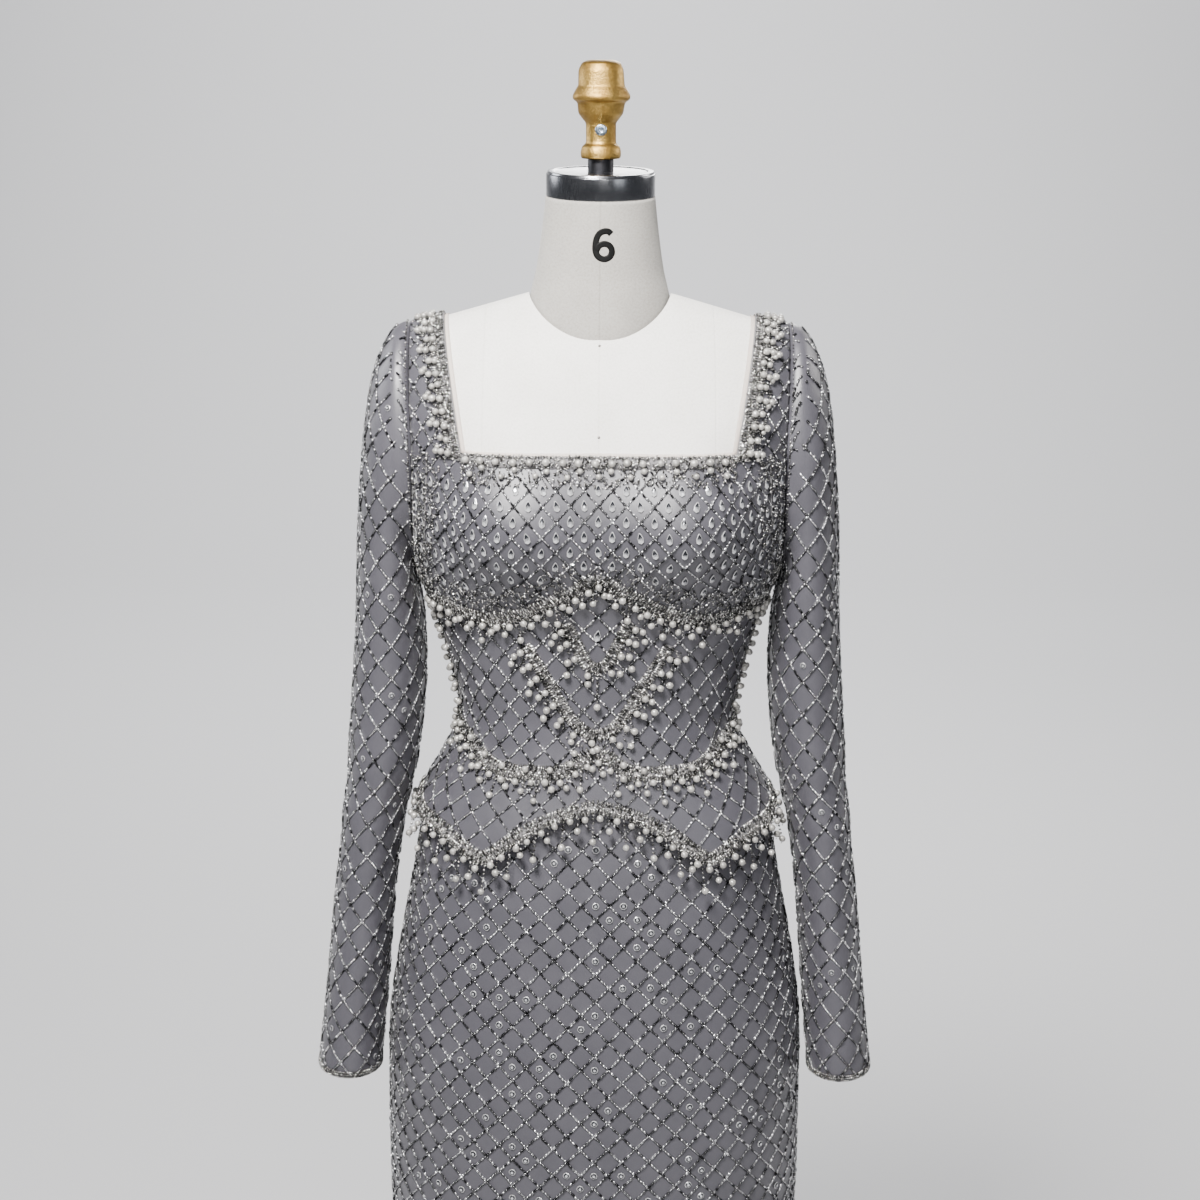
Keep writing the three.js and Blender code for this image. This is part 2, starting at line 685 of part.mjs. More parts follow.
const underbustLine = [
  { x: 0, z: 1186 },
  { x: 12, z: 1178 },
  { x: 35, z: 1165 },
  { x: 58, z: 1152 },
  { x: 85, z: 1144 },
  { x: 108, z: 1145 },
  { x: 130, z: 1152 },
  { turn: 87, z: 1150 },
];
const upperVeeLine = [
  { x: 0, z: 1104 },
  { x: 8, z: 1107 },
  { x: 15, z: 1120 },
  { x: 22, z: 1136 },
  { x: 27, z: 1145 },
];
const lowerVeeLine = [
  { x: 0, z: 1044 },
  { x: 14, z: 1050 },
  { x: 25, z: 1063 },
  { x: 37, z: 1084 },
  { x: 50, z: 1106 },
  { x: 61, z: 1124 },
];
const waistLine = [
  { x: 0, z: 1027 },
  { x: 12, z: 1019 },
  { x: 25, z: 1010 },
  { x: 42, z: 1006 },
  { x: 78, z: 1005 },
  { x: 90, z: 1008 },
  { x: 100, z: 1017 },
  { x: 110, z: 1028 },
  { turn: 86, z: 1040 },
];
// Trims end short of the side seams and of the zip
const lastTurn = 88.5;
const zipTurn = 2;
const hemTrimRise = 1;
const hemLine = peplumHem.filter(({ turn }) => turn <= 90)
  .map(({ turn, z }) => ({ turn: Math.min(turn, lastTurn), z: z + hemTrimRise }));
const backHemLine = peplumHem.filter(({ turn }) => turn >= 90).reverse()
  .map(({ turn, z }) => ({ turn: Math.min(Math.max(180 - turn, zipTurn), lastTurn), z: z + hemTrimRise }));
const backWaistLine = waistLine.map((entry) => (entry.x === 0 ? { turn: zipTurn, z: entry.z } : entry));

const frontTrims = {
  underbust: [underbustLine, { cells: 28, width: 8, drop: 10 }],
  vee_upper: [upperVeeLine, { cells: 9, width: 6, drop: 8 }],
  vee_lower: [lowerVeeLine, { cells: 18, width: 6, drop: 7 }],
  waist_front: [waistLine, { cells: 26, width: 8, drop: 10 }],
  hem_front: [hemLine, { cells: 34, width: 8, drop: 12, longDrop: 24 }],
};
for (const [name, [line, sizes]] of Object.entries(frontTrims)) {
  addPiece(`trim_${name}`, trimGeometry(mirrored(line), sizes), pearlTrim);
}
for (const [name, side] of [['left', -1], ['right', 1]]) {
  const onSide = (line) => line.map((entry) => ({
    x: entry.x && side * entry.x,
    turn: entry.turn === undefined ? undefined : side * entry.turn,
    z: entry.z,
  }));
  const waist = trimGeometry(onSide(backWaistLine), { cells: 12, width: 8, drop: 10, back: true });
  addPiece(`trim_waist_back_${name}`, waist, pearlTrim);
  const hem = trimGeometry(onSide(backHemLine), { cells: 16, width: 8, drop: 12, longDrop: 24, back: true });
  addPiece(`trim_hem_back_${name}`, hem, pearlTrim);
}

// Neckline trim: a flat beaded border along the neckline and the inner edges of the straps
const borderBottom = 1276;
const backBorderBottomRow = { rise: 0.13 };
const borderOuterColumn = 7;
const borderColumns = fullColumns.filter((w) => Math.abs(w) * columnsPerSide < borderOuterColumn + 0.5);
const borderClearance = 0.6;
const borderToZip = 6;
const borderOffset = formClearance + clothWall + borderClearance;

function neckBorder(rows, columns, back, levelRows) {
  const layer = (extra) => rows.map((row) => columns.map((w) => {
    const point = surfacePoint(columnTurn(w, row, back), row, borderOffset + extra);
    if (w === 0 && back) point.x = Math.sign(columns.at(-1)) * borderToZip;
    if (row.rise === 1) point.y = back ? seamGap / 2 : -seamGap / 2;
    return point;
  }));
  const strap = strapInnerColumn / columnsPerSide;
  const kept = (i, j) => {
    const inner = Math.min(Math.abs(columns[j]), Math.abs(columns[j + 1]));
    return i < levelRows || inner > strap - tiny;
  };
  return wallGeometry(layer(trimWall), layer(0), { kept });
}

const frontBorderRows = [{ z: borderBottom }, { z: chestZ }, ...strapRows];
addPiece('trim_neck_front', neckBorder(frontBorderRows, borderColumns, false, 1), pearlTrim);
const backBorderRows = [backBorderBottomRow, ...strapRows];
for (const [name, side] of [['left', -1], ['right', 1]]) {
  const columns = borderColumns.filter((w) => w >= 0).map((w) => side * w);
  addPiece(`trim_neck_back_${name}`, neckBorder(backBorderRows, columns, true, 1), pearlTrim);
}

// Dress form torso: the figure itself, flat under the hip, closed over the shoulders and flat at
// the arm plates, with a socket for the neck
const torsoLowRows = [formBottomZ, 800, 850, 900, 946, 984, 1003, 1021].map((z) => ({ z }));

function torsoGeometry() {
  const points = [];
  const triangles = [];
  const quad = (a, b, c, d) => triangles.push([a, b, c], [a, c, d]);
  const add = (point) => points.push(point) - 1;
  const rows = [...torsoLowRows, ...bodiceRows, ...strapRows];
  const count = fullColumns.length;
  const drawIn = (row) => (row.rise === undefined ? straightAt(torsoDrawIn, 'z', row.z, 'inset') : 0);
  const grid = (back) => rows.map((row) => fullColumns.map((w) => (
    surfacePoint(columnTurn(w, row, back), row, -drawIn(row))
  )));
  const numbersOf = (layer) => layer.map((line) => line.map(add));
  const front = numbersOf(grid(false));
  const behind = grid(true).map((line, i) => line.map((point, j) => {
    const onSeam = rows[i].rise === 1 || ((j === 0 || j === count - 1) && rows[i].z <= underarmZ);
    return onSeam ? front[i][j] : add(point);
  }));
  for (let i = 0; i < rows.length - 1; i += 1) {
    for (let j = 0; j < count - 1; j += 1) {
      for (const layer of [front, behind]) {
        const corners = [layer[i][j], layer[i][j + 1], layer[i + 1][j + 1], layer[i + 1][j]];
        const cell = shorterDiagonal(...corners.map((k) => points[k]))(corners);
        quad(...(layer === behind ? facingBack(cell) : cell));
      }
    }
    for (const [j, flip] of [[0, true], [count - 1, false]]) {
      const corners = [front[i][j], behind[i][j], behind[i + 1][j], front[i + 1][j]];
      const round = [...new Set(flip ? corners.reverse() : corners)];
      for (let k = 1; k < round.length - 1; k += 1) triangles.push([round[0], round[k], round[k + 1]]);
    }
  }
  const rim = [...front[0]].reverse().concat(behind[0].slice(1, -1));
  const centre = add(new THREE.Vector3(0, 10, formBottomZ));
  rim.forEach((a, k) => triangles.push([centre, a, rim[(k + 1) % rim.length]]));
  const solid = triangles.filter((corners) => new Set(corners).size === 3);
  return solidGeometry(points, solid);
}

// The neck: ovals from its foot inside the torso to the sloping plane of the cap, leaning into
// that slope above the torso's top
const neckLeanZ = 1415;
const neckTopZ = 1497;
const neckRings = [
  { z: 1352, halfWidth: 66, front: -62, back: 74 },
  { z: 1392, halfWidth: 63, front: -61, back: 70 },
  { z: neckLeanZ, halfWidth: 59.5, front: -58, back: 64 },
  { z: 1434, halfWidth: 55, front: -54, back: 56 },
  { z: 1466, halfWidth: 50.3, front: -51, back: 47 },
  { z: neckTopZ, halfWidth: 46.8, front: -50.5, back: 41 },
];
const capTilt = 3 * degree;
const capRadius = 46.6;
const capHeight = 21;
const capMidY = -4.5;
const neckAround = 24;

function neckRing(ring, grow) {
  const midY = (ring.front + ring.back) / 2;
  const halfDepth = (ring.back - ring.front) / 2 + grow;
  const lean = Math.tan(capTilt) * Math.max((ring.z - neckLeanZ) / (neckTopZ - neckLeanZ), 0);
  return Array.from({ length: neckAround }, (_, k) => {
    const round = (k / neckAround) * 2 * Math.PI;
    const y = midY - halfDepth * Math.cos(round);
    return new THREE.Vector3((ring.halfWidth + grow) * Math.sin(round), y, ring.z + (y - capMidY) * lean);
  });
}

const neckSocket = loftGeometry([
  neckRing({ ...neckRings[0], z: neckRings[0].z - seamGap }, seamGap),
  ...neckRings.slice(1).map((ring) => neckRing(ring, seamGap)),
]);
addPiece('form_torso', toGeometry(toManifold(torsoGeometry()).subtract(toManifold(neckSocket))), linen);
addPiece('form_neck', loftGeometry(neckRings.map((ring) => neckRing(ring, 0))), neckLinen);

// Turns a profile of radius and height round the upright axis
function turnedGeometry(profile, segments) {
  const shape = new THREE.LatheGeometry(profile.map(({ r, z }) => new THREE.Vector2(r, z)), segments);
  return mergeCorners(shape.rotateX(Math.PI / 2));
}

// The cap closes the neck on a slope, with a boss that carries the finial
const bossRadius = 11;
const bossFootZ = 1510;
const finialFootZ = 1528;
const capChamfer = 1.2;
const capProfile = [
  { r: 0, z: 0 },
  { r: capRadius, z: 0 },
  { r: capRadius, z: capHeight - capChamfer },
  { r: capRadius - capChamfer, z: capHeight },
  { r: 0, z: capHeight },
];
const capZ = neckTopZ + seamGap;
const capMesh = turnedGeometry(capProfile, 28);
capMesh.rotateX(capTilt);
capMesh.translate(0, capMidY, capZ);
const boss = turnedGeometry([
  { r: 0, z: bossFootZ },
  { r: bossRadius, z: bossFootZ },
  { r: bossRadius, z: finialFootZ - seamGap },
  { r: 0, z: finialFootZ - seamGap },
], 16);
addPiece('neck_cap', toGeometry(toManifold(capMesh).add(toManifold(boss))), darkMetal);

const finialProfile = [
  { r: 0, z: 0 },
  { r: 16.8, z: 0 },
  { r: 17.4, z: 5 },
  { r: 16.2, z: 10.5 },
  { r: 12.8, z: 13 },
  { r: 13.1, z: 30 },
  { r: 15.5, z: 33 },
  { r: 19.2, z: 38 },
  { r: 20.4, z: 47 },
  { r: 24.6, z: 50 },
  { r: 24.6, z: 53 },
  { r: 21.6, z: 58.5 },
  { r: 19.8, z: 61 },
  { r: 19, z: 74 },
  { r: 16.5, z: 80 },
  { r: 11, z: 82.5 },
  { r: 0, z: 82.5 },
];
const finialGeometry = turnedGeometry(finialProfile, 16);
finialGeometry.translate(0, 0, finialFootZ);
addPiece('finial', finialGeometry, castBrass);

// Locking screw in the finial's stem, its head proud of the casting
const screwZ = finialFootZ + 24.5;
const screwSeatY = -13.6;
const screwProfile = [
  { r: 0, z: 0 },
  { r: 4.9, z: 0 },
  { r: 5.1, z: 1.6 },
  { r: 4.2, z: 2.8 },
  { r: 0, z: 2.8 },
];
const screwGeometry = turnedGeometry(screwProfile, 14);
screwGeometry.rotateX(Math.PI / 2);
screwGeometry.translate(0, screwSeatY, screwZ);
addPiece('finial_screw', screwGeometry, zinc);

// Pole and round iron base
const poleRadius = 16;
const baseRadius = 180;
const baseTop = 34;
const poleGeometry = turnedGeometry([
  { r: 0, z: baseTop + seamGap },
  { r: poleRadius, z: baseTop + seamGap },
  { r: poleRadius, z: formBottomZ - seamGap },
  { r: 0, z: formBottomZ - seamGap },
], 16);
addPiece('pole', poleGeometry, darkMetal);
addPiece('base', turnedGeometry([
  { r: 0, z: 0 },
  { r: baseRadius, z: 0 },
  { r: baseRadius, z: 12 },
  { r: baseRadius - 6, z: 16 },
  { r: 40, z: 22 },
  { r: 28, z: baseTop },
  { r: 0, z: baseTop },
], 30), darkIron);

export default gown;
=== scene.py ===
"""Evening gown with beaded lattice and pearl trims, standing on a limbless size 6 dress form.

The script runs from top to bottom and follows the object as it is put together: the studio, the dress
form, the cloth, and then the beads. Lengths in the tables and formulas are millimetres, with +Z up and
the gown facing -Y, and new_piece() turns them to metres.
"""
import math
from collections import namedtuple

import bmesh
import bpy
import numpy as np
from mathutils import Matrix, Vector


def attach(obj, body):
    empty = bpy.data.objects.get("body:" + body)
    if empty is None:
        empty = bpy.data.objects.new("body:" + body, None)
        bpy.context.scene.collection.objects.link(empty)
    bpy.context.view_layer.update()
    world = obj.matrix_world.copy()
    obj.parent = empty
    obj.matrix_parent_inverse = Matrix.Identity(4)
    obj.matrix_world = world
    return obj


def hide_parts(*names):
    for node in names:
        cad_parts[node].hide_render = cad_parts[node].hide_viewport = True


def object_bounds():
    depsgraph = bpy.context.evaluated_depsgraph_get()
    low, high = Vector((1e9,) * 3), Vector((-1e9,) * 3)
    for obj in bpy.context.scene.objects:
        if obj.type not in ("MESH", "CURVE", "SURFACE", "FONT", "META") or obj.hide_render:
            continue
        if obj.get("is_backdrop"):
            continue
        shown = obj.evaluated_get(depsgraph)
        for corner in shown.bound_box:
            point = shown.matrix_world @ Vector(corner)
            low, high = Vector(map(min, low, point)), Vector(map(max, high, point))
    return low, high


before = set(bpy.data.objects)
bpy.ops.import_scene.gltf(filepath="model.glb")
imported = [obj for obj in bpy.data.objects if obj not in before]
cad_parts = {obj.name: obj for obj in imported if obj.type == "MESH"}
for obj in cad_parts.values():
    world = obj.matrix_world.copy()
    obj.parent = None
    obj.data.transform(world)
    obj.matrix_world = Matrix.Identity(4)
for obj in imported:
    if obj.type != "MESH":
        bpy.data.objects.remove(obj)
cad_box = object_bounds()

# Studio: a pale seamless sheet swept up behind the object, large soft lamps, and a camera that
# looks a little down on the bust from about two metres, as the photograph does.
METRE = 0.001
BODY = "gown_and_form"


def new_piece(name, points, faces, material, slot=None, replaces=(), smooth=True, flat_map=None):
    """Puts points in millimetres and faces of three or four corners into a mesh object in metres.
    flat_map gives each point its place on the flat cloth, in metres, as the piece's UV map."""
    mesh = bpy.data.meshes.new(name)
    corners = faces.shape[1]
    mesh.vertices.add(len(points))
    mesh.vertices.foreach_set("co", (points * METRE).astype(np.float32).ravel())
    mesh.loops.add(faces.size)
    mesh.loops.foreach_set("vertex_index", faces.astype(np.int32).ravel())
    mesh.polygons.add(len(faces))
    mesh.polygons.foreach_set("loop_start", np.arange(0, faces.size, corners, dtype=np.int32))
    mesh.update(calc_edges=True)
    mesh.polygons.foreach_set("use_smooth", np.full(len(faces), smooth))
    if flat_map is not None:
        layer = mesh.uv_layers.new(name="flat_cloth")
        layer.uv.foreach_set("vector", flat_map[faces.ravel()].astype(np.float32).ravel())
    piece = bpy.data.objects.new(name, mesh)
    bpy.context.scene.collection.objects.link(piece)
    mesh.materials.append(material)
    if slot:
        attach(piece, BODY)
    if replaces:
        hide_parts(*replaces)
    return piece


def grid_faces(rows, columns, round_rows=False):
    """Four-cornered faces of a grid of points, row after row. A round grid's last column meets its first."""
    cells = columns if round_rows else columns - 1
    i, j = np.meshgrid(np.arange(rows - 1), np.arange(cells), indexing="ij")
    beside = (j + 1) % columns
    corners = [i * columns + j, i * columns + beside, (i + 1) * columns + beside, (i + 1) * columns + j]
    return np.stack(corners, -1).reshape(-1, 4)


class Finish:
    """A material that is built up node by node round one Principled shader."""

    def __init__(self, name, colour, roughness, metallic=0.0, **sockets):
        self.material = bpy.data.materials.new(name)
        self.material.use_nodes = True
        self.tree = self.material.node_tree
        self.shader = self.tree.nodes["Principled BSDF"]
        self.set("Base Color", (*colour, 1))
        self.set("Roughness", roughness)
        self.set("Metallic", metallic)
        for socket, value in sockets.items():
            self.set(socket.replace("_", " ").title().replace("Ior", "IOR"), value)

    def set(self, socket, value):
        self.shader.inputs[socket].default_value = value

    def node(self, kind, **inputs):
        """Adds a node. An input is a number, a colour or another node's output socket."""
        made = self.tree.nodes.new(kind)
        return self.feed(made, inputs)

    def feed(self, made, inputs):
        for name, value in inputs.items():
            socket = made.inputs[int(name[1:])] if name[0] == "_" else made.inputs[name]
            if isinstance(value, bpy.types.NodeSocket):
                self.tree.links.new(value, socket)
            else:
                socket.default_value = value
        return made

    def group(self, shared, **inputs):
        made = self.tree.nodes.new("ShaderNodeGroup")
        made.node_tree = shared
        return self.feed(made, {name.replace("_", " "): value for name, value in inputs.items()})

    def place(self, kind="Object"):
        """Object coordinates in metres, or the piece's own UV map."""
        return self.node("ShaderNodeTexCoord").outputs[kind]

    def bump(self, height, distance, strength=1.0):
        made = self.node("ShaderNodeBump", Height=height, Distance=distance, Strength=strength)
        self.tree.links.new(made.outputs["Normal"], self.shader.inputs["Normal"])

    def link(self, output, socket):
        self.tree.links.new(output, self.shader.inputs[socket])


def shared_effect(name, inputs, outputs, build):
    """A node group with named sockets. build places its nodes and returns what each output reads."""
    tree = bpy.data.node_groups.new(name, "ShaderNodeTree")
    for label, kind, value in inputs:
        socket = tree.interface.new_socket(name=label, in_out="INPUT", socket_type=kind)
        if value is not None:
            socket.default_value = value
    for label, kind in outputs:
        tree.interface.new_socket(name=label, in_out="OUTPUT", socket_type=kind)
    entry = tree.nodes.new("NodeGroupInput")
    leave = tree.nodes.new("NodeGroupOutput")

    def add(kind, settings=None, **feeds):
        made = tree.nodes.new(kind)
        for key, value in (settings or {}).items():
            setattr(made, key, value)
        for label, value in feeds.items():
            socket = made.inputs[int(label[1:])] if label[0] == "_" else made.inputs[label]
            if isinstance(value, bpy.types.NodeSocket):
                tree.links.new(value, socket)
            else:
                socket.default_value = value
        return made.outputs

    for label, output in build(add, entry.outputs).items():
        tree.links.new(output, leave.inputs[label])
    return tree


def build_mottle(add, given):
    """Slow uneven tone: soft noise stretched between two values."""
    noise = add("ShaderNodeTexNoise", Vector=given["Vector"], Scale=given["Scale"], Detail=4.0, Roughness=0.55)
    spread = add("ShaderNodeMapRange", _0=noise[0], _1=0.3, _2=0.7, _3=given["Low"], _4=given["High"])
    return {"Value": spread[0], "Noise": noise[0]}


mottle = shared_effect(
    "mottle",
    [("Vector", "NodeSocketVector", None), ("Scale", "NodeSocketFloat", 5.0),
     ("Low", "NodeSocketFloat", 0.0), ("High", "NodeSocketFloat", 1.0)],
    [("Value", "NodeSocketFloat"), ("Noise", "NodeSocketFloat")],
    build_mottle,
)

FLOOR_HALF = 7000
BACKDROP_Y = 7000
BACKDROP_BEND = 1800
BACKDROP_HEIGHT = 5000
bend = np.radians(np.linspace(0, 90, 24))
sheet_y = np.concatenate([[-FLOOR_HALF, BACKDROP_Y - BACKDROP_BEND], BACKDROP_Y - BACKDROP_BEND * (1 - np.sin(bend)),
                          [BACKDROP_Y]])
sheet_z = np.concatenate([[0, 0], BACKDROP_BEND * (1 - np.cos(bend)), [BACKDROP_HEIGHT]])
sheet_x = np.array([-FLOOR_HALF, FLOOR_HALF])
sheet_points = np.stack(np.broadcast_arrays(sheet_x, sheet_y[:, None], sheet_z[:, None]), -1).reshape(-1, 3)
paper = Finish("pale_paper", (0.56, 0.56, 0.57), 0.85)
paper_tone = paper.group(mottle, Vector=paper.place(), Scale=0.6, Low=0.82, High=0.88)
paper.link(paper_tone.outputs["Value"], "Roughness")
new_piece("backdrop", sheet_points, grid_faces(len(sheet_y), 2), paper.material)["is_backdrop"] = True

world = bpy.data.worlds.new("studio")
bpy.context.scene.world = world
world.use_nodes = True
world.node_tree.nodes["Background"].inputs["Color"].default_value = (0.86, 0.90, 1.0, 1)
world.node_tree.nodes["Background"].inputs["Strength"].default_value = 0.12


def soft_lamp(name, place, aim, size, power, colour):
    """A square lamp at a place in metres that shines towards a point."""
    lamp = bpy.data.lights.new(name, "AREA")
    lamp.size = size
    lamp.energy = power
    lamp.color = colour
    holder = bpy.data.objects.new(name, lamp)
    holder.location = place
    holder.rotation_euler = (Vector(aim) - Vector(place)).to_track_quat("-Z", "Y").to_euler()
    bpy.context.scene.collection.objects.link(holder)


soft_lamp("key", (-0.4, -1.15, 2.5), (0, 0, 1.3), 0.5, 128, (1.0, 0.98, 0.955))
soft_lamp("front", (0.35, -2.9, 2.05), (0, 0, 1.3), 0.4, 22, (1.0, 0.985, 0.97))
soft_lamp("fill", (2.0, -2.4, 1.9), (0, 0, 1.2), 1.2, 10, (0.93, 0.96, 1.0))
soft_lamp("left_edge", (-2.0, 0.9, 1.9), (0, 0, 1.1), 0.9, 22, (0.95, 0.97, 1.0))
soft_lamp("right_edge", (2.0, 1.0, 2.1), (0, 0, 1.1), 0.9, 22, (1.0, 0.97, 0.95))
soft_lamp("back", (0.5, 2.9, 2.6), (0, 0, 1.0), 1.2, 52, (1.0, 0.99, 0.97))
soft_lamp("backdrop_glow", (0, 3.9, 4.2), (0, 6.6, 0.6), 3.0, 420, (1.0, 1.0, 1.0))

CAMERA_PLACE = (0.0, -2.080, 1.6217)
LOOK_DOWN = 13.0
CAMERA_ROLL = 0.4
camera = bpy.data.cameras.new("photo_view")
camera.sensor_width = 36
camera.lens = 72
camera.shift_x = 0.0019
viewer = bpy.data.objects.new("photo_view", camera)
viewer.matrix_world = (
    Matrix.Translation(CAMERA_PLACE)
    @ Matrix.Rotation(math.radians(90 - LOOK_DOWN), 4, "X")
    @ Matrix.Rotation(math.radians(CAMERA_ROLL), 4, "Z")
)
bpy.context.scene.collection.objects.link(viewer)
bpy.context.scene.camera = viewer

# Dress form torso: padded fibreglass under one tight cover of off-white linen, seamed at the centre
# and through each shoulder. Level sections of the figure give its shape, and the gown's below the hip.
CHEST = 1288.0
UNDERARM = 1178.0
WAIST = 1040.0
FORM_BOTTOM = 730.0
ARCH_RUN = 165.0
SHOULDER_TOP = CHEST + ARCH_RUN
# height, half width, depth in front, depth behind, exponent of the rounded outline
SECTIONS = np.array([
    (12, 244, 212, 226, 2.0),
    (100, 222, 188, 200, 2.0),
    (180, 204, 168, 176, 2.05),
    (280, 186, 146, 152, 2.1),
    (380, 178, 133, 141, 2.15),
    (480, 180, 130, 142, 2.2),
    (570, 185, 128, 146, 2.25),
    (700, 186, 125, 150, 2.3),
    (760, 184.5, 121, 149, 2.3),
    (800, 179, 117, 146, 2.3),
    (830, 174, 114, 143, 2.3),
    (870, 166.5, 111, 140, 2.28),
    (908, 159.5, 107, 133, 2.25),
    (946, 153.5, 102, 123, 2.22),
    (965, 147.5, 99, 117, 2.2),
    (984, 138.5, 96, 111, 2.15),
    (1003, 129.5, 94, 105, 2.12),
    (1021, 121.5, 92, 100, 2.1),
    (1040, 118.5, 91, 97, 2.1),
    (1068, 123.5, 92, 97, 2.12),
    (1105, 131.5, 94, 100, 2.2),
    (1141, 142.5, 96, 104, 2.3),
    (1178, 158, 99, 110, 2.38),
    (1210, 165, 100, 113, 2.4),
    (1250, 172, 101, 114, 2.4),
    (1288, 178, 100, 112, 2.4),
])
BUST_X, BUST_Z, BUST_HEIGHT = 85.0, 1222.0, 43.0
BUST_INWARD, BUST_OUTWARD, BUST_UP, BUST_DOWN = 55.0, 42.0, 46.0, 38.0
SHOULDER_X = [0, 62, 138, 165]
SHOULDER_Z = [1424, 1414, 1392, 1386]
ARMHOLE_X = 158.0
STRAP_LEAN_X = [0, 114, 158]
STRAP_LEAN = [0, 22, 5]


def hermite(keys, values, at):
    """Reads values between rows on cubic curves, each row's slope being that from the row before it to
    the row after it. values has a row for each key, and may hold a column for each entry of at."""
    at = np.clip(at, keys[0], keys[-1])
    i = np.clip(np.searchsorted(keys, at, side="left") - 1, 0, len(keys) - 2)
    before = np.maximum(np.arange(len(keys)) - 1, 0)
    after = np.minimum(np.arange(len(keys)) + 1, len(keys) - 1)
    reach = (keys[after] - keys[before]).reshape(-1, *([1] * (values.ndim - 1)))
    slopes = (values[after] - values[before]) / reach
    span = keys[i + 1] - keys[i]
    s = (at - keys[i]) / span
    pick = (lambda rows, k: rows[k]) if values.ndim == 1 else (lambda rows, k: rows[k, np.arange(len(k))])
    if values.ndim == 3:
        s, span = s[:, None], span[:, None]
    rise = s * s * (3 - 2 * s)
    leave = s * (1 - s) ** 2 * span * pick(slopes, i)
    arrive = s * s * (s - 1) * span * pick(slopes, i + 1)
    return pick(values, i) * (1 - rise) + pick(values, i + 1) * rise + leave + arrive


def figure(turn, level):
    """Point of the figure. turn goes round in degrees from the centre front towards +X. level is the
    height up to the chest, and above it the way up the shoulder's arch. Each section is a rounded
    outline |x/half width|^n + |y/depth|^n = 1; two soft bumps add the bust; an arch draws the depth in to
    nothing on the shoulder line, while the armhole's edge leans outwards."""
    turn, level = np.broadcast_arrays(np.asarray(turn, float), np.asarray(level, float))
    height = np.minimum(level, CHEST)
    rise = np.clip((level - CHEST) / ARCH_RUN, 0, 1) * np.pi / 2
    half_width, front, back, power = (hermite(SECTIONS[:, 0], SECTIONS[:, k], height) for k in (1, 2, 3, 4))
    side, ahead = np.sin(np.radians(turn)), np.cos(np.radians(turn))
    x = half_width * np.sign(side) * np.abs(side) ** (2 / power)
    climb = np.sin(rise) ** (2 / 1.8)
    x = x + np.sign(x) * np.interp(np.abs(x), STRAP_LEAN_X, STRAP_LEAN) * climb
    z = height + (np.interp(np.abs(x), SHOULDER_X, SHOULDER_Z) - CHEST) * climb
    high = (z - BUST_Z) / np.where(z > BUST_Z, BUST_UP, BUST_DOWN)
    bust = 0
    for flank in (-1, 1):
        away = flank * x - BUST_X
        wide = away / np.where(away > 0, BUST_OUTWARD, BUST_INWARD)
        bust = bust + BUST_HEIGHT * np.exp(-(wide * wide + high * high) / 2)
    depth = np.where(ahead > 0, front + bust, back) * np.abs(ahead) ** (2 / power)
    y = -np.sign(ahead) * depth * np.maximum(np.cos(rise), 0) ** (2 / 1.5)
    return np.stack([x, y, z], -1)


def unit(vectors):
    return vectors / np.maximum(np.linalg.norm(vectors, axis=-1, keepdims=True), 1e-9)


def figure_normal(turn, level):
    """Outward direction of the figure, from points a little to each side."""
    turn, level = np.broadcast_arrays(np.asarray(turn, float), np.asarray(level, float))
    across = figure(turn + 0.4, level) - figure(turn - 0.4, level)
    upward = figure(turn, np.minimum(level + 1.5, SHOULDER_TOP)) - figure(turn, level - 1.5)
    normal = np.cross(across, upward)
    normal[..., 1] = np.where(level >= SHOULDER_TOP, 0, normal[..., 1])
    return unit(normal)


def edge_turn(level):
    """Turn of the armhole's edge, 90 degrees below the underarm."""
    level = np.asarray(level, float)
    height = np.minimum(level, CHEST)
    half_width = hermite(SECTIONS[:, 0], SECTIONS[:, 1], height)
    power = hermite(SECTIONS[:, 0], SECTIONS[:, 4], height)
    part = np.minimum(ARMHOLE_X / half_width, 1) ** (power / 2)
    return np.where(level <= UNDERARM, 90.0, np.degrees(np.arcsin(part)))


def build_weave(add, given):
    """Plain weave from a flat map in metres: threads cross over and under, as a product of sines."""
    scaled = add("ShaderNodeVectorMath", {"operation": "SCALE"}, _0=given["Vector"], Scale=given["Threads"])
    parts = add("ShaderNodeSeparateXYZ", _0=scaled[0])
    across = add("ShaderNodeMath", {"operation": "SINE"}, _0=parts[0])
    along = add("ShaderNodeMath", {"operation": "SINE"}, _0=parts[1])
    cross = add("ShaderNodeMath", {"operation": "MULTIPLY"}, _0=across[0], _1=along[0])
    slub = add("ShaderNodeTexNoise", Vector=given["Vector"], Scale=given["Slubs"], Detail=3.0, Roughness=0.7)
    height = add("ShaderNodeMath", {"operation": "MULTIPLY_ADD"}, _0=cross[0], _1=0.3, _2=slub[0])
    return {"Height": height[0], "Slub": slub[0]}


weave = shared_effect(
    "weave",
    [("Vector", "NodeSocketVector", None), ("Threads", "NodeSocketFloat", 4000.0),
     ("Slubs", "NodeSocketFloat", 600.0)],
    [("Height", "NodeSocketFloat"), ("Slub", "NodeSocketFloat")],
    build_weave,
)


def build_seam(add, given):
    """A sewn seam along straight lines of a flat map: 1 on the line, fading to 0 at its width."""
    parts = add("ShaderNodeSeparateXYZ", _0=given["Vector"])
    folded = add("ShaderNodeMath", {"operation": "ABSOLUTE"}, _0=parts[0])
    away = add("ShaderNodeMath", {"operation": "SUBTRACT"}, _0=folded[0], _1=given["Line"])
    distance = add("ShaderNodeMath", {"operation": "ABSOLUTE"}, _0=away[0])
    mask = add("ShaderNodeMapRange", _0=distance[0], _1=0.0, _2=given["Width"], _3=1.0, _4=0.0)
    return {"Mask": mask[0]}


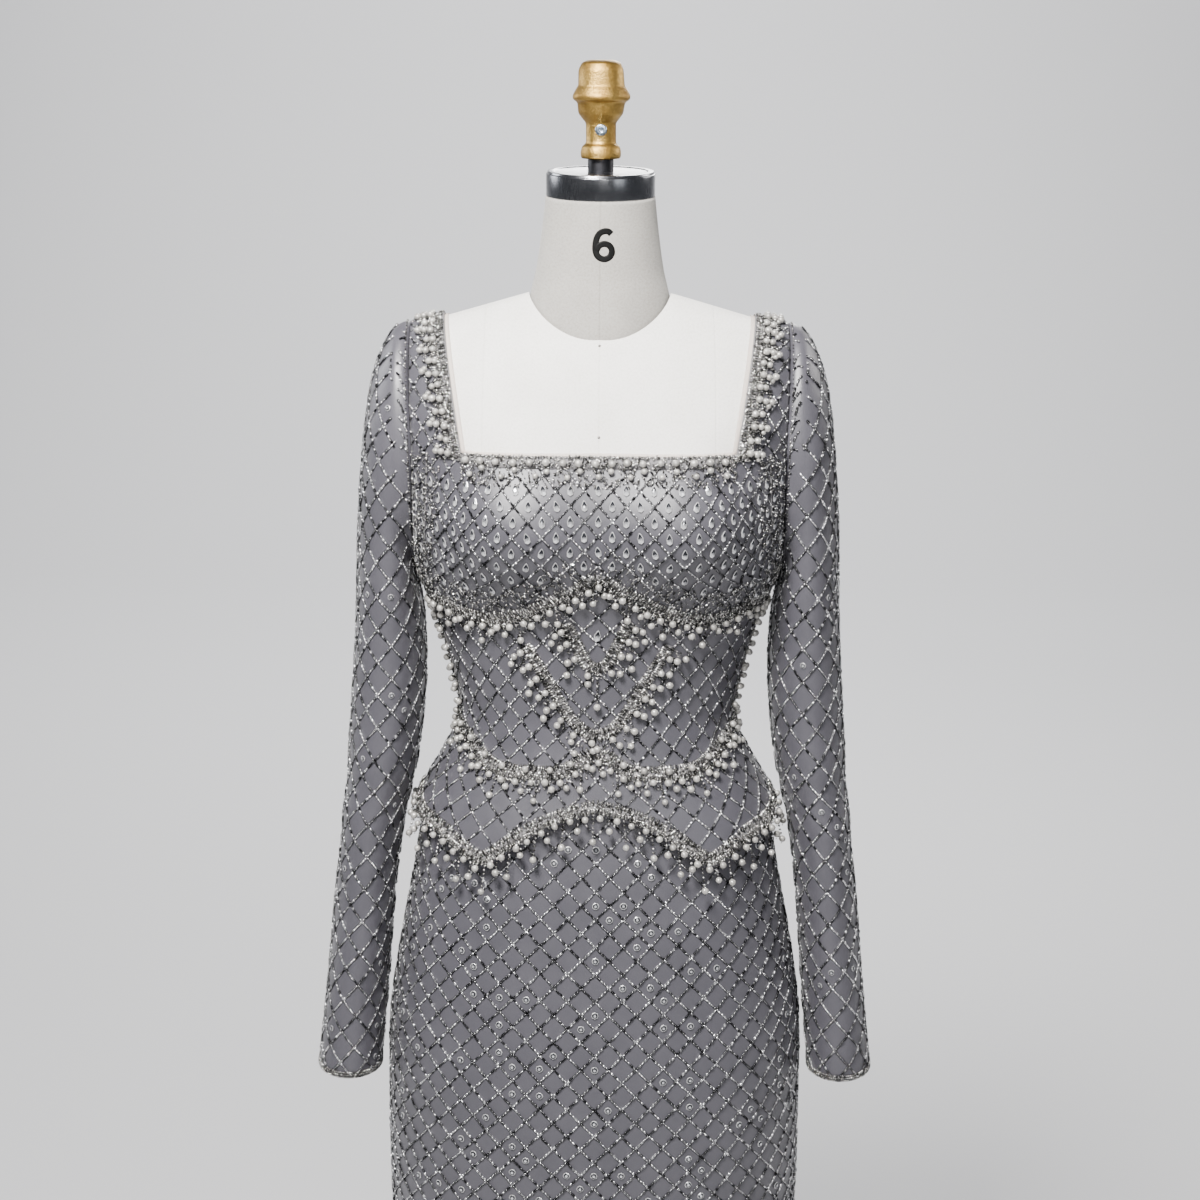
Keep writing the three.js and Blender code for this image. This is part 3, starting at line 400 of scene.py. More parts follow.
seam = shared_effect(
    "seam",
    [("Vector", "NodeSocketVector", None), ("Line", "NodeSocketFloat", 0.0),
     ("Width", "NodeSocketFloat", 0.001)],
    [("Mask", "NodeSocketFloat")],
    build_seam,
)


def linen_finish(name, light, dark, seam_line):
    """Linen cover: uneven threads, slow mottling and darker sewn seams."""
    linen = Finish(name, light, 0.88, sheen_weight=0.15)
    flat = linen.place("UV")
    cloth = linen.group(weave, Vector=flat, Threads=4600.0, Slubs=520.0)
    tone = linen.group(mottle, Vector=linen.place(), Scale=26.0, Low=0.0, High=0.35)
    slub = linen.node("ShaderNodeMapRange", _0=cloth.outputs["Slub"], _1=0.42, _2=0.72, _3=0.0, _4=0.6)
    centre = linen.group(seam, Vector=flat, Line=0.0, Width=0.0011)
    shoulder = linen.group(seam, Vector=flat, Line=seam_line, Width=0.0011)
    both = linen.node("ShaderNodeMath", _0=centre.outputs["Mask"], _1=shoulder.outputs["Mask"])
    lines = linen.node("ShaderNodeMath", _0=both.outputs[0], _1=0.35)
    lines.operation = "MULTIPLY"
    sum_tone = linen.node("ShaderNodeMath", _0=tone.outputs["Value"], _1=slub.outputs[0])
    sum_lines = linen.node("ShaderNodeMath", _0=sum_tone.outputs[0], _1=lines.outputs[0])
    sum_lines.use_clamp = True
    mix = linen.node("ShaderNodeMix", Factor=sum_lines.outputs[0])
    mix.data_type = "RGBA"
    mix.inputs[6].default_value = (*light, 1)
    mix.inputs[7].default_value = (*dark, 1)
    linen.link(mix.outputs[2], "Base Color")
    drop = linen.node("ShaderNodeMath", _0=cloth.outputs["Height"], _1=both.outputs[0])
    drop.operation = "SUBTRACT"
    linen.bump(drop.outputs[0], 0.0003, 0.6)
    return linen.material


def joined(parts):
    """Points and four-cornered faces of several grids as one list."""
    start = np.cumsum([0] + [len(points) for points, _ in parts[:-1]])
    return np.concatenate([p for p, _ in parts]), np.concatenate([f + s for (_, f), s in zip(parts, start)])


def merge_and_turn_out(piece, distance=0.00002):
    """Merges points that share a place, and turns all faces outwards."""
    mesh = bmesh.new()
    mesh.from_mesh(piece.data)
    bmesh.ops.remove_doubles(mesh, verts=mesh.verts, dist=distance)
    bmesh.ops.recalc_face_normals(mesh, faces=mesh.faces)
    mesh.to_mesh(piece.data)
    mesh.free()


torso_linen = linen_finish("torso_linen", (0.90, 0.885, 0.85), (0.70, 0.68, 0.63), 0.098)
torso_levels = np.concatenate([np.linspace(FORM_BOTTOM, WAIST, 40), np.linspace(WAIST, CHEST, 40)[1:],
                               CHEST + ARCH_RUN * np.linspace(0, 1, 30)[1:]])
torso_columns = np.linspace(-1, 1, 81)
draw_in = np.interp(torso_levels, [730, 800, 850], [11, 4, 0])[:, None]
torso_turn = torso_columns * edge_turn(torso_levels)[:, None]
level_grid = np.broadcast_to(torso_levels[:, None], torso_turn.shape)
shells = []
for turned in (torso_turn, 180 - torso_turn):
    shell = figure(turned, level_grid) - draw_in[..., None] * figure_normal(turned, level_grid)
    shells.append(shell)
torso_front, torso_back = shells
torso_grid = grid_faces(len(torso_levels), len(torso_columns))
plate_depth = np.linspace(0, 1, 9)[:, None]
plates = []
for column in (0, -1):
    plate = torso_front[:, None, column] * (1 - plate_depth) + torso_back[:, None, column] * plate_depth
    plates.append((plate.reshape(-1, 3), grid_faces(len(torso_levels), 9)))
floor_depth = np.linspace(0, 1, 9)[:, None, None]
floor_plate = torso_front[0] * (1 - floor_depth) + torso_back[0] * floor_depth
floor_plate[..., 2] = FORM_BOTTOM
points, faces = joined([
    (torso_front.reshape(-1, 3), torso_grid), (torso_back.reshape(-1, 3), torso_grid), *plates,
    (floor_plate.reshape(-1, 3), grid_faces(9, len(torso_columns))),
])
along_x = np.where(np.abs(points[:, 1]) > 5, points[:, 0], points[:, 0] + 500) * METRE
torso = new_piece("torso", points, faces, torso_linen, "form_linen", ["form_torso"],
                  flat_map=np.stack([along_x, points[:, 2] * METRE], -1))
merge_and_turn_out(torso)

# Neck of the form: a linen-covered block let into the torso, with the size printed in black above
# the neck seam, a steel cap, and pins that mark the centre front.
NECK = np.array([
    (1352, 66, -62, 74),
    (1392, 63, -61, 70),
    (1415, 59.5, -58, 64),
    (1434, 55, -54, 56),
    (1466, 50.3, -51, 47),
    (1497, 46.8, -50.5, 41),
])
CAP_TILT = math.radians(3)
CAP_MID_Y = -4.5
NECK_LEAN_FROM = 1415.0
NECK_TOP = 1497.0


def neck_point(around, height, grow=0.0):
    """Point of the neck: an oval at each height, leaning with the cap above the collar. around is in
    degrees from the centre front towards +X."""
    around, height = np.broadcast_arrays(np.asarray(around, float), np.asarray(height, float))
    half_width, front, back = (hermite(NECK[:, 0], NECK[:, k], height) for k in (1, 2, 3))
    y = (front + back) / 2 - ((back - front) / 2 + grow) * np.cos(np.radians(around))
    lean = np.tan(CAP_TILT) * np.clip((height - NECK_LEAN_FROM) / (NECK_TOP - NECK_LEAN_FROM), 0, None)
    z = height + (y - CAP_MID_Y) * lean
    return np.stack([(half_width + grow) * np.sin(np.radians(around)), y, z], -1)


def closed_tube(rings):
    """Points and faces of a tube through rings of points, both ends closed by fans of narrow cells."""
    around = rings.shape[1]
    ends = [np.repeat(rings[k].mean(0)[None], around, 0) for k in (0, -1)]
    stack = np.concatenate([ends[0][None], rings, ends[1][None]])
    return stack.reshape(-1, 3), grid_faces(len(stack), around, True)


def tube_piece(name, rings, *options, **more):
    points, faces = closed_tube(rings)
    piece = new_piece(name, points, faces, *options, **more)
    merge_and_turn_out(piece)
    return piece


neck_around = np.arange(0, 360, 3.75)
neck_heights = np.linspace(NECK[0, 0], NECK_TOP, 50)[:, None]
neck_finish = linen_finish("neck_linen", (0.40, 0.383, 0.35), (0.255, 0.242, 0.22), 3.0)
neck_rings = neck_point(neck_around, neck_heights)
points, faces = closed_tube(neck_rings)
side_x = np.where(points[:, 1] < 0, points[:, 0], points[:, 0] + 500)
neck = new_piece("neck", points, faces, neck_finish, "neck_linen", ["form_neck"],
                 flat_map=np.stack([side_x, points[:, 2]], -1) * METRE)
merge_and_turn_out(neck)

NECK_SEAM_WIDTH = 1.5
points, faces = closed_tube(neck_point(neck_around, np.linspace(NECK[0, 0] - 1, NECK_TOP + 8, 40)[:, None],
                                       NECK_SEAM_WIDTH))
cutter = new_piece("neck_cutter", points, faces, torso_linen)
merge_and_turn_out(cutter)
cut = torso.modifiers.new("neck_seam", "BOOLEAN")
cut.operation = "DIFFERENCE"
cut.solver = "EXACT"
cut.object = cutter
carved = bpy.data.meshes.new_from_object(torso.evaluated_get(bpy.context.evaluated_depsgraph_get()))
torso.modifiers.clear()
torso.data = carved
carved.set_sharp_from_angle(angle=math.radians(35))
bpy.data.objects.remove(cutter)

# The numeral's stroke, from its upper end round the bowl: across and up from the numeral's middle
NUMERAL_STROKE = np.array([
    (6.4, 9.6), (4.3, 11.6), (0.6, 12.1), (-3.4, 10.3), (-5.9, 6.2), (-6.9, 0.8), (-6.8, -4.6), (-4.6, -9.6),
    (0.2, -11.8), (4.7, -9.9), (6.7, -5.2), (5.0, -0.6), (0.6, 1.3), (-3.8, -0.4), (-6.2, -4.2),
])
NUMERAL_HALF = 2.65
NUMERAL_HEIGHT_ON_NECK = 1460.0
NUMERAL_X = 3.0


def ribbon(line, half):
    """Left and right edge of a stroke of even width along a smooth line through the given points."""
    keys = np.arange(len(line), dtype=float)
    at = np.linspace(0, len(line) - 1, 90)
    middle = np.stack([hermite(keys, line[:, k], at) for k in (0, 1)], -1)
    ahead = unit(np.gradient(middle, axis=0))
    beside = np.stack([-ahead[:, 1], ahead[:, 0]], -1)
    return middle[:, None] + beside[:, None] * np.linspace(-half, half, 5)[None, :, None]


stroke = ribbon(NUMERAL_STROKE, NUMERAL_HALF)
numeral_around = np.degrees((stroke[..., 0] + NUMERAL_X) / 50.5)
numeral_height = NUMERAL_HEIGHT_ON_NECK + stroke[..., 1]
numeral_points = neck_point(numeral_around, numeral_height, 0.12).reshape(-1, 3)
ink = Finish("black_print", (0.003, 0.003, 0.003), 0.7, specular_ior_level=0.12)
ink_tone = ink.group(mottle, Vector=ink.place(), Scale=400.0, Low=0.45, High=0.7)
ink.link(ink_tone.outputs["Value"], "Roughness")
numeral = new_piece("size_numeral", numeral_points, grid_faces(90, 5), ink.material, "neck_linen")
coat = numeral.modifiers.new("print_depth", "SOLIDIFY")
coat.thickness = 0.00012
coat.offset = 1

PIN_HEIGHTS = [1387.0, 1376.0, 1304.0]
pin_steel = Finish("pin_steel", (0.16, 0.15, 0.14), 0.35, 1.0)
pin_tone = pin_steel.group(mottle, Vector=pin_steel.place(), Scale=900.0, Low=0.25, High=0.5)
pin_steel.link(pin_tone.outputs["Value"], "Roughness")
pin_profile = np.array([(0.05, 0.0), (1.1, 0.0), (1.15, 0.5), (0.8, 0.9), (0.05, 1.0)])
pin_turns = np.radians(np.arange(0, 360, 30))
for number, height in enumerate(PIN_HEIGHTS):
    arch = np.linspace(CHEST - 10, SHOULDER_TOP, 600)
    line = figure(0.0, arch)
    nearest = np.argmin(np.abs(line[:, 2] - height))
    foot, out = line[nearest], figure_normal(0.0, arch[nearest])
    up = np.cross([1.0, 0, 0], out)
    radius, rise = pin_profile[:, 0, None, None], pin_profile[:, 1, None, None]
    spokes = np.cos(pin_turns)[None, :, None] * np.array([1.0, 0, 0]) + np.sin(pin_turns)[None, :, None] * up
    tube_piece(f"centre_pin_{number + 1}", foot + radius * spokes + (rise - 0.2) * out, pin_steel.material,
               "form_linen")

# Cap, finial and stand: a dark polished steel cap closes the neck, a cast brass knob with a zinc
# locking screw is bolted on it, and a steel pole carries the form on a round iron foot.
CAP_RADIUS = 46.6
CAP_HEIGHT = 21.0
CAP_FOOT = NECK_TOP + 0.3
FINIAL_FOOT = 1528.0


def turned_rings(profile, segments, ripple=None):
    """Rings of a turned shape: a profile of radius and height, carried round the upright axis."""
    profile = np.asarray(profile, float)
    turns = np.radians(np.arange(segments) * 360 / segments)
    radius = np.repeat(profile[:, :1], segments, 1)
    height = np.repeat(profile[:, 1:2], segments, 1)
    if ripple is not None:
        radius = radius + ripple(turns[None], height)
    return np.stack([radius * np.cos(turns), radius * np.sin(turns), height], -1)


def rounded_profile(corners, bevel, steps=4):
    """A profile with each inner corner replaced by a short curve of the bevel's reach."""
    corners = np.asarray(corners, float)
    rows = [corners[:1]]
    for before, corner, after in zip(corners[:-2], corners[1:-1], corners[2:]):
        reach = min(bevel, np.linalg.norm(before - corner) * 0.45, np.linalg.norm(after - corner) * 0.45)
        start = corner + unit(before - corner) * reach
        end = corner + unit(after - corner) * reach
        s = np.linspace(0, 1, steps)[:, None]
        rows.append(start * (1 - s) ** 2 + corner * 2 * s * (1 - s) + end * s * s)
    rows.append(corners[-1:])
    return np.concatenate(rows)


def build_wear(add, given):
    """Fine handling marks: stretched noise for brushing, and a slower noise for dull patches."""
    stretched = add("ShaderNodeVectorMath", {"operation": "MULTIPLY"}, _0=given["Vector"], _1=given["Stretch"])
    fine = add("ShaderNodeTexNoise", Vector=stretched[0], Scale=given["Scale"], Detail=5.0, Roughness=0.6)
    slow = add("ShaderNodeTexNoise", Vector=given["Vector"], Scale=60.0, Detail=3.0, Roughness=0.5)
    both = add("ShaderNodeMath", {"operation": "ADD"}, _0=fine[0], _1=slow[0])
    rough = add("ShaderNodeMapRange", _0=both[0], _1=0.7, _2=1.3, _3=given["Smooth"], _4=given["Rough"])
    return {"Roughness": rough[0], "Height": fine[0], "Patches": slow[0]}


wear = shared_effect(
    "wear",
    [("Vector", "NodeSocketVector", None), ("Stretch", "NodeSocketVector", (1, 1, 1)),
     ("Scale", "NodeSocketFloat", 400.0), ("Smooth", "NodeSocketFloat", 0.2),
     ("Rough", "NodeSocketFloat", 0.5)],
    [("Roughness", "NodeSocketFloat"), ("Height", "NodeSocketFloat"), ("Patches", "NodeSocketFloat")],
    build_wear,
)


def metal_finish(name, colour, dark, smooth, rough, scale, stretch, relief):
    """Bare metal: two tones in patches, uneven roughness and a shallow surface relief."""
    metal = Finish(name, colour, smooth, 1.0)
    marks = metal.group(wear, Vector=metal.place(), Stretch=stretch, Scale=scale, Smooth=smooth, Rough=rough)
    metal.link(marks.outputs["Roughness"], "Roughness")
    part = metal.node("ShaderNodeMapRange", _0=marks.outputs["Patches"], _1=0.35, _2=0.65, _3=0.0, _4=1.0)
    mix = metal.node("ShaderNodeMix", Factor=part.outputs[0])
    mix.data_type = "RGBA"
    mix.inputs[6].default_value = (*colour, 1)
    mix.inputs[7].default_value = (*dark, 1)
    metal.link(mix.outputs[2], "Base Color")
    metal.bump(marks.outputs["Height"], relief, 0.7)
    return metal.material


cap_steel = metal_finish("cap_steel", (0.30, 0.305, 0.32), (0.22, 0.225, 0.24), 0.16, 0.3, 300.0,
                         (6, 6, 0.4), 0.00003)
cap_corners = [(0, 0), (CAP_RADIUS, 0), (CAP_RADIUS, CAP_HEIGHT - 2.4), (CAP_RADIUS - 0.9, CAP_HEIGHT - 2.0),
               (CAP_RADIUS - 1.4, CAP_HEIGHT), (CAP_RADIUS - 6, CAP_HEIGHT), (CAP_RADIUS - 7, CAP_HEIGHT - 0.8),
               (13.5, CAP_HEIGHT - 0.8)]
cap_rings = turned_rings(rounded_profile(cap_corners, 0.5), 120)
cap_rings = np.stack([
    cap_rings[..., 0],
    cap_rings[..., 1] * np.cos(CAP_TILT) - cap_rings[..., 2] * np.sin(CAP_TILT) + CAP_MID_Y,
    cap_rings[..., 1] * np.sin(CAP_TILT) + cap_rings[..., 2] * np.cos(CAP_TILT) + CAP_FOOT,
], -1)
tube_piece("cap", cap_rings, cap_steel, "cap_steel", ["neck_cap"])
boss_corners = [(0, 1512), (11, 1512), (11, FINIAL_FOOT - 0.3), (0, FINIAL_FOOT - 0.3)]
bolt_black = metal_finish("bolt_black", (0.05, 0.05, 0.055), (0.03, 0.03, 0.033), 0.35, 0.55, 300.0, (1, 1, 1),
                          0.00006)
tube_piece("cap_boss", turned_rings(rounded_profile(boss_corners, 0.6), 60), bolt_black, "cap_steel")

FINIAL_CORNERS = [
    (0, 0), (16.8, 0), (17.4, 5), (16.2, 10.5), (12.8, 13), (12.9, 30), (15.5, 33), (19.2, 38), (20.4, 47),
    (24.4, 49.6), (24.6, 53), (21.6, 58.5), (19.8, 61), (19.2, 74), (16.5, 80), (11, 82.3), (0, 82.5),
]
brass = metal_finish("finial_brass", (0.54, 0.345, 0.095), (0.28, 0.165, 0.04), 0.3, 0.56, 620.0,
                     (1, 1, 1), 0.0007)
finial_rings = turned_rings(
    rounded_profile(FINIAL_CORNERS, 2.0, 5), 96,
    lambda turns, height: 0.16 * np.sin(3 * turns + height / 7) + 0.12 * np.sin(5 * turns - height / 5),
)
finial_rings[..., 2] += FINIAL_FOOT
tube_piece("finial", finial_rings, brass, "finial_brass", ["finial"])

SCREW_HEIGHT = FINIAL_FOOT + 24.5
zinc = metal_finish("screw_zinc", (0.42, 0.52, 0.62), (0.30, 0.36, 0.43), 0.2, 0.4, 700.0, (1, 1, 1), 0.00005)
screw_corners = [(0, 0), (4.9, 0), (5.1, 1.6), (4.4, 2.6), (2.2, 2.8), (1.9, 1.4), (0, 1.3)]
screw_rings = turned_rings(rounded_profile(screw_corners, 0.35), 36)
screw_rings = np.stack([screw_rings[..., 0], -13.6 - screw_rings[..., 2], screw_rings[..., 1] + SCREW_HEIGHT], -1)
tube_piece("finial_locking_screw", screw_rings, zinc, "screw_zinc", ["finial_screw"])

pole_steel = metal_finish("pole_steel", (0.32, 0.325, 0.335), (0.2, 0.2, 0.21), 0.2, 0.4, 240.0,
                          (5, 5, 0.4), 0.00004)
pole_corners = [(0, 34.3), (16, 34.3), (16, FORM_BOTTOM - 0.3), (0, FORM_BOTTOM - 0.3)]
tube_piece("pole_tube", turned_rings(rounded_profile(pole_corners, 1.0), 48), pole_steel, "pole_steel", ["pole"])
iron = metal_finish("base_iron", (0.045, 0.046, 0.05), (0.02, 0.02, 0.022), 0.4, 0.65, 500.0, (1, 1, 1), 0.0002)
base_corners = [(0, 0), (180, 0), (180, 12), (174, 16), (40, 22), (28, 34), (0, 34)]
tube_piece("round_base", turned_rings(rounded_profile(base_corners, 2.5, 6), 128), iron, "base_iron", ["base"])

# Skirt: three panels of satin-backed net, cut flat and joined at the sides and centre back, hanging
# from the hip to the floor. Its hem falls in ten soft flutes.
CLOTH_WALL = 1.6
SNUG = 1.0
HEM = 12.0
SKIRT_TOP = 1036.0
FLUTE_TOP = 420.0


def cloth_point(turn, level, off):
    """Point of the hanging cloth: off the figure along its normal, with the hem's flutes and slow
    shallow waves, which are sums of sines of the turn and the height."""
    turn, level = np.broadcast_arrays(np.asarray(turn, float), np.asarray(level, float))
    angle = np.radians(turn)
    low = np.clip((FLUTE_TOP - level) / (FLUTE_TOP - HEM), 0, None)
    flutes = 6 * low * low * np.cos(10 * angle)
    hanging = np.clip((960 - level) / 120, 0, 1) * np.clip(level / 60, 0, 1)
    waves = 0.55 * np.sin(3 * angle + level / 70) * np.sin(level / 95 + 2 * angle)
    normal = figure_normal(turn, level)
    return figure(turn, level) + normal * (off + flutes + hanging * waves)[..., None], normal


class PanelMap:
    """A flat map of a panel: distance from its centre line and level give a place on the body. It is
    tabled from the lengths of level lines over the cloth, and read straight between the rows."""

    def __init__(self, back, low, high, off):
        self.back = back
        self.off = off
        self.levels = np.arange(low, high + 4, 4.0)
        share = np.linspace(0, 1, 91)
        turn = share * edge_turn(self.levels)[:, None]
        level = np.broadcast_to(self.levels[:, None], turn.shape)
        line, _ = cloth_point(180 - turn if back else turn, level, off(level))
        steps = np.linalg.norm(np.diff(line, axis=1), axis=-1)
        length = np.concatenate([np.zeros((len(line), 1)), np.cumsum(steps, 1)], 1)
        self.half = length[:, -1]
        self.table = np.stack([np.interp(share * row[-1], row, t) for row, t in zip(length, turn)])

    def half_width(self, level):
        return np.interp(level, self.levels, self.half)

    def turn(self, across, level):
        part = np.clip(np.abs(across) / self.half_width(level), 0, 1) * 90
        row = np.clip((level - self.levels[0]) / 4, 0, len(self.levels) - 1.001)
        i, j = row.astype(int), np.minimum(part.astype(int), 89)
        s, t = row - i, part - j
        upper = self.table[i + 1, j] * (1 - t) + self.table[i + 1, j + 1] * t
        lower = self.table[i, j] * (1 - t) + self.table[i, j + 1] * t
        away = np.sign(across) * (lower * (1 - s) + upper * s)
        return 180 - away if self.back else away

    def place(self, across, level, above=0.0):
        turn = self.turn(across, level)
        return cloth_point(turn, level, self.off(level) + CLOTH_WALL + above)


def satin_finish(name, light, dark):
    """Pale grey net over satin: a fine weave, slow shading and a soft sheen."""
    satin = Finish(name, light, 0.42, sheen_weight=0.06, sheen_roughness=0.4, specular_ior_level=0.85)
    cloth = satin.group(weave, Vector=satin.place("UV"), Threads=5200.0, Slubs=900.0)
    tone = satin.group(mottle, Vector=satin.place("UV"), Scale=14.0, Low=0.0, High=0.55)
    part = satin.node("ShaderNodeMapRange", _0=cloth.outputs["Slub"], _1=0.35, _2=0.7, _3=0.0, _4=0.4)
    both = satin.node("ShaderNodeMath", _0=tone.outputs["Value"], _1=part.outputs[0])
    both.use_clamp = True
    mix = satin.node("ShaderNodeMix", Factor=both.outputs[0])
    mix.data_type = "RGBA"
    mix.inputs[6].default_value = (*light, 1)
    mix.inputs[7].default_value = (*dark, 1)
    satin.link(mix.outputs[2], "Base Color")
    rough = satin.group(mottle, Vector=satin.place("UV"), Scale=60.0, Low=0.36, High=0.47)
    satin.link(rough.outputs["Value"], "Roughness")
    satin.bump(cloth.outputs["Height"], 0.0002, 0.5)
    return satin.material


satin = satin_finish("grey_satin", (0.076, 0.073, 0.087), (0.051, 0.050, 0.060))


def cloth_piece(name, turn, level, off, replaces, centre_gap=None, kept=None):
    """A wall of cloth on a grid of turns and levels, as thick as the CAD wall. kept drops cells."""
    outer, _ = cloth_point(turn, level, off(level) + CLOTH_WALL)
    if centre_gap is not None:
        edge = np.abs(np.abs(turn) - 180) < 1e-6
        outer[..., 0] = np.where(edge, centre_gap, outer[..., 0])
    steps = np.linalg.norm(np.diff(outer, axis=1), axis=-1)
    across = np.concatenate([np.zeros((len(outer), 1)), np.cumsum(steps, 1)], 1)
    flat_map = np.stack([across - across.mean(1, keepdims=True), level], -1).reshape(-1, 2) * METRE
    faces = grid_faces(*turn.shape)
    if kept is not None:
        faces = faces[kept.ravel()]
    piece = new_piece(name, outer.reshape(-1, 3), faces, satin, "beaded_cloth", replaces, flat_map=flat_map)
    loose = bmesh.new()
    loose.from_mesh(piece.data)
    bmesh.ops.delete(loose, geom=[v for v in loose.verts if not v.link_faces], context="VERTS")
    loose.faces.ensure_lookup_table()
    middle = loose.faces[0].calc_center_median()
    if loose.faces[0].normal.dot(Vector((middle.x, middle.y, 0))) < 0:
        bmesh.ops.reverse_faces(loose, faces=loose.faces)
    loose.to_mesh(piece.data)
    loose.free()
    wall = piece.modifiers.new("cloth_wall", "SOLIDIFY")
    wall.thickness = CLOTH_WALL * METRE
    wall.offset = -1
    wall.use_even_offset = True
    return piece


def snug_off(level):
    return np.full_like(np.asarray(level, float), SNUG)


SKIRT_FRONT_MAP = PanelMap(False, HEM, SKIRT_TOP, snug_off)
SKIRT_BACK_MAP = PanelMap(True, HEM, SKIRT_TOP, snug_off)
skirt_levels = np.linspace(HEM, SKIRT_TOP, 104)[:, None]
skirt_front_turn, skirt_front_level = np.broadcast_arrays(np.linspace(-89.95, 89.95, 61), skirt_levels)
skirt_front = cloth_piece("skirt_front_panel", skirt_front_turn, skirt_front_level, snug_off, ["skirt_front"])
for side, word in ((-1, "left"), (1, "right")):
    turn, level = np.broadcast_arrays(side * np.linspace(180, 90.05, 31), skirt_levels)
    panel = cloth_piece(f"skirt_back_{word}_panel", turn, level, snug_off, [f"skirt_back_{word}"],
                        centre_gap=side * 0.15)

# Bodice: a fitted front with square neckline, straps and scalloped peplum in one, and two back
# panels on either side of the zip. The peplum stands off the skirt that it falls over.
COLUMNS = 40
STRAP_COLUMN = 0.6
# turn from the centre front, height of the peplum's hem
PEPLUM_HEM = np.array([
    (0, 974), (8, 968), (17, 956), (26, 938), (34, 924), (42, 930), (54, 941), (72, 947), (90, 957),
    (108, 947), (126, 941), (138, 931), (146, 926), (154, 938), (163, 953), (180, 966),
], float)


def peplum_hem(turn):
    folded = np.abs((np.asarray(turn, float) + 180) % 360 - 180)
    return hermite(PEPLUM_HEM[:, 0], PEPLUM_HEM[:, 1], folded)


def bodice_off(level):
    """Inside of the bodice off the figure: snug above the waist, and flaring over the skirt below it."""
    level = np.asarray(level, float)
    return np.interp(level, [WAIST - 200, WAIST, WAIST + 14], [3.2 + 0.076 * 200, 3.2, SNUG])


BODICE_FRONT_MAP = PanelMap(False, 920, SHOULDER_TOP, bodice_off)
BODICE_BACK_MAP = PanelMap(True, 920, SHOULDER_TOP, bodice_off)
peplum_share = np.linspace(0, 1, 15)[:-1, None]
fitted_levels = np.concatenate([np.linspace(WAIST, CHEST, 36), CHEST + ARCH_RUN * np.linspace(0, 1, 21)[1:]])


def bodice_grid(columns, back):
    """Turns and levels of a bodice panel: peplum rows run from its hem to the waist."""
    def turned(level):
        away = columns * edge_turn(level)
        return np.where(columns < 0, -180, 180) - away if back else away
    low_turn = np.broadcast_to(turned(np.array([[WAIST]])), (len(peplum_share), len(columns)))
    hem = peplum_hem(low_turn)
    low_level = hem + (WAIST - hem) * peplum_share
    high_level = np.broadcast_to(fitted_levels[:, None], (len(fitted_levels), len(columns)))
    high_turn = turned(fitted_levels[:, None])
    return np.concatenate([low_turn, high_turn]), np.concatenate([low_level, high_level])


def bodice_cells(columns, level, neckline):
    """Cells of a bodice panel: all below the neckline, and only the straps above it."""
    middle = np.abs(columns[1:] + columns[:-1]) / 2
    row_level = level.max(1)
    below = row_level[1:] <= neckline + 0.01
    return below[:, None] | (middle[None] > STRAP_COLUMN)


BACK_NECKLINE = CHEST + 0.25 * ARCH_RUN
front_columns = np.linspace(-1, 1, 2 * COLUMNS + 1)
turn, level = bodice_grid(front_columns * 0.9995, False)
bodice_front = cloth_piece("bodice_front_panel", turn, level, bodice_off, ["bodice_front"],
                           kept=bodice_cells(front_columns, level, CHEST))
for side, word in ((-1, "left"), (1, "right")):
    columns = side * np.linspace(0, 1, COLUMNS + 1)
    turn, level = bodice_grid(columns * 0.9995, True)
    if side < 0:
        turn[:, 0] = -180
    panel = cloth_piece(f"bodice_back_{word}_panel", turn, level, bodice_off, [f"bodice_back_{word}"],
                        centre_gap=side * 1.6, kept=bodice_cells(columns, level, BACK_NECKLINE))

# Sleeves: long and close, one panel each, rolled round the arm and seamed inside it. They start on
# the armhole's own edge and end open above the wrist.
# outer line x and z, inner line x and z, half depth, middle in depth
SLEEVE_RINGS = np.array([
    (174, 1386, 162.5, 1175, 61, 1),
    (187, 1368, 163.5, 1171, 61, 1),
    (198, 1335, 163, 1165, 60, 1),
    (205.5, 1280, 160, 1157, 58, 1),
    (211, 1210, 157.5, 1145, 56, 2),
    (214, 1140, 155, 1124, 54, 3),
    (218, 1070, 154, 1068, 52, 4),
    (223, 1005, 160.5, 1005, 50, 4),
    (231, 927, 177, 927, 48, 2),
    (241, 830, 187, 830, 45, -3),
    (249, 752, 193.5, 752, 42, -8),
    (253.5, 706, 197.5, 704, 40, -11),
])
ARMHOLE_LEVELS = np.array([SHOULDER_TOP, *(CHEST + ARCH_RUN * np.array([0.75, 0.5, 0.25])), 1288, 1276, 1256,
                           1234, 1210, 1190, UNDERARM])
ARMHOLE_ROUND = np.linspace(0, 180, len(ARMHOLE_LEVELS))
ring_middles = (SLEEVE_RINGS[:, 0:2] + SLEEVE_RINGS[:, 2:4]) / 2
ring_steps = np.linalg.norm(np.diff(ring_middles, axis=0), axis=1)
SLEEVE_DOWN = np.concatenate([[0, 9], 9 + np.cumsum(ring_steps)])
CUFF = SLEEVE_DOWN[-1]


def sleeve_folds(round_arm, down):
    """Slow dents along the arm and short creases at the bend of the elbow, as sums of sines."""
    angle = np.radians(round_arm)
    soft = 0.9 * np.sin(down / 46 + 2 * angle) * np.sin(down / 71 + angle)
    bend = np.exp(-((down - 330) / 60) ** 2)
    creases = 0.9 * bend * np.sin(down / 11 + 1.5 * np.cos(angle)) * (0.5 + 0.5 * np.sin(angle + 0.6))
    free = np.clip((down - 30) / 60, 0, 1) * np.clip((CUFF + 6 - down) / 40, 0, 1)
    return (soft + creases) * free


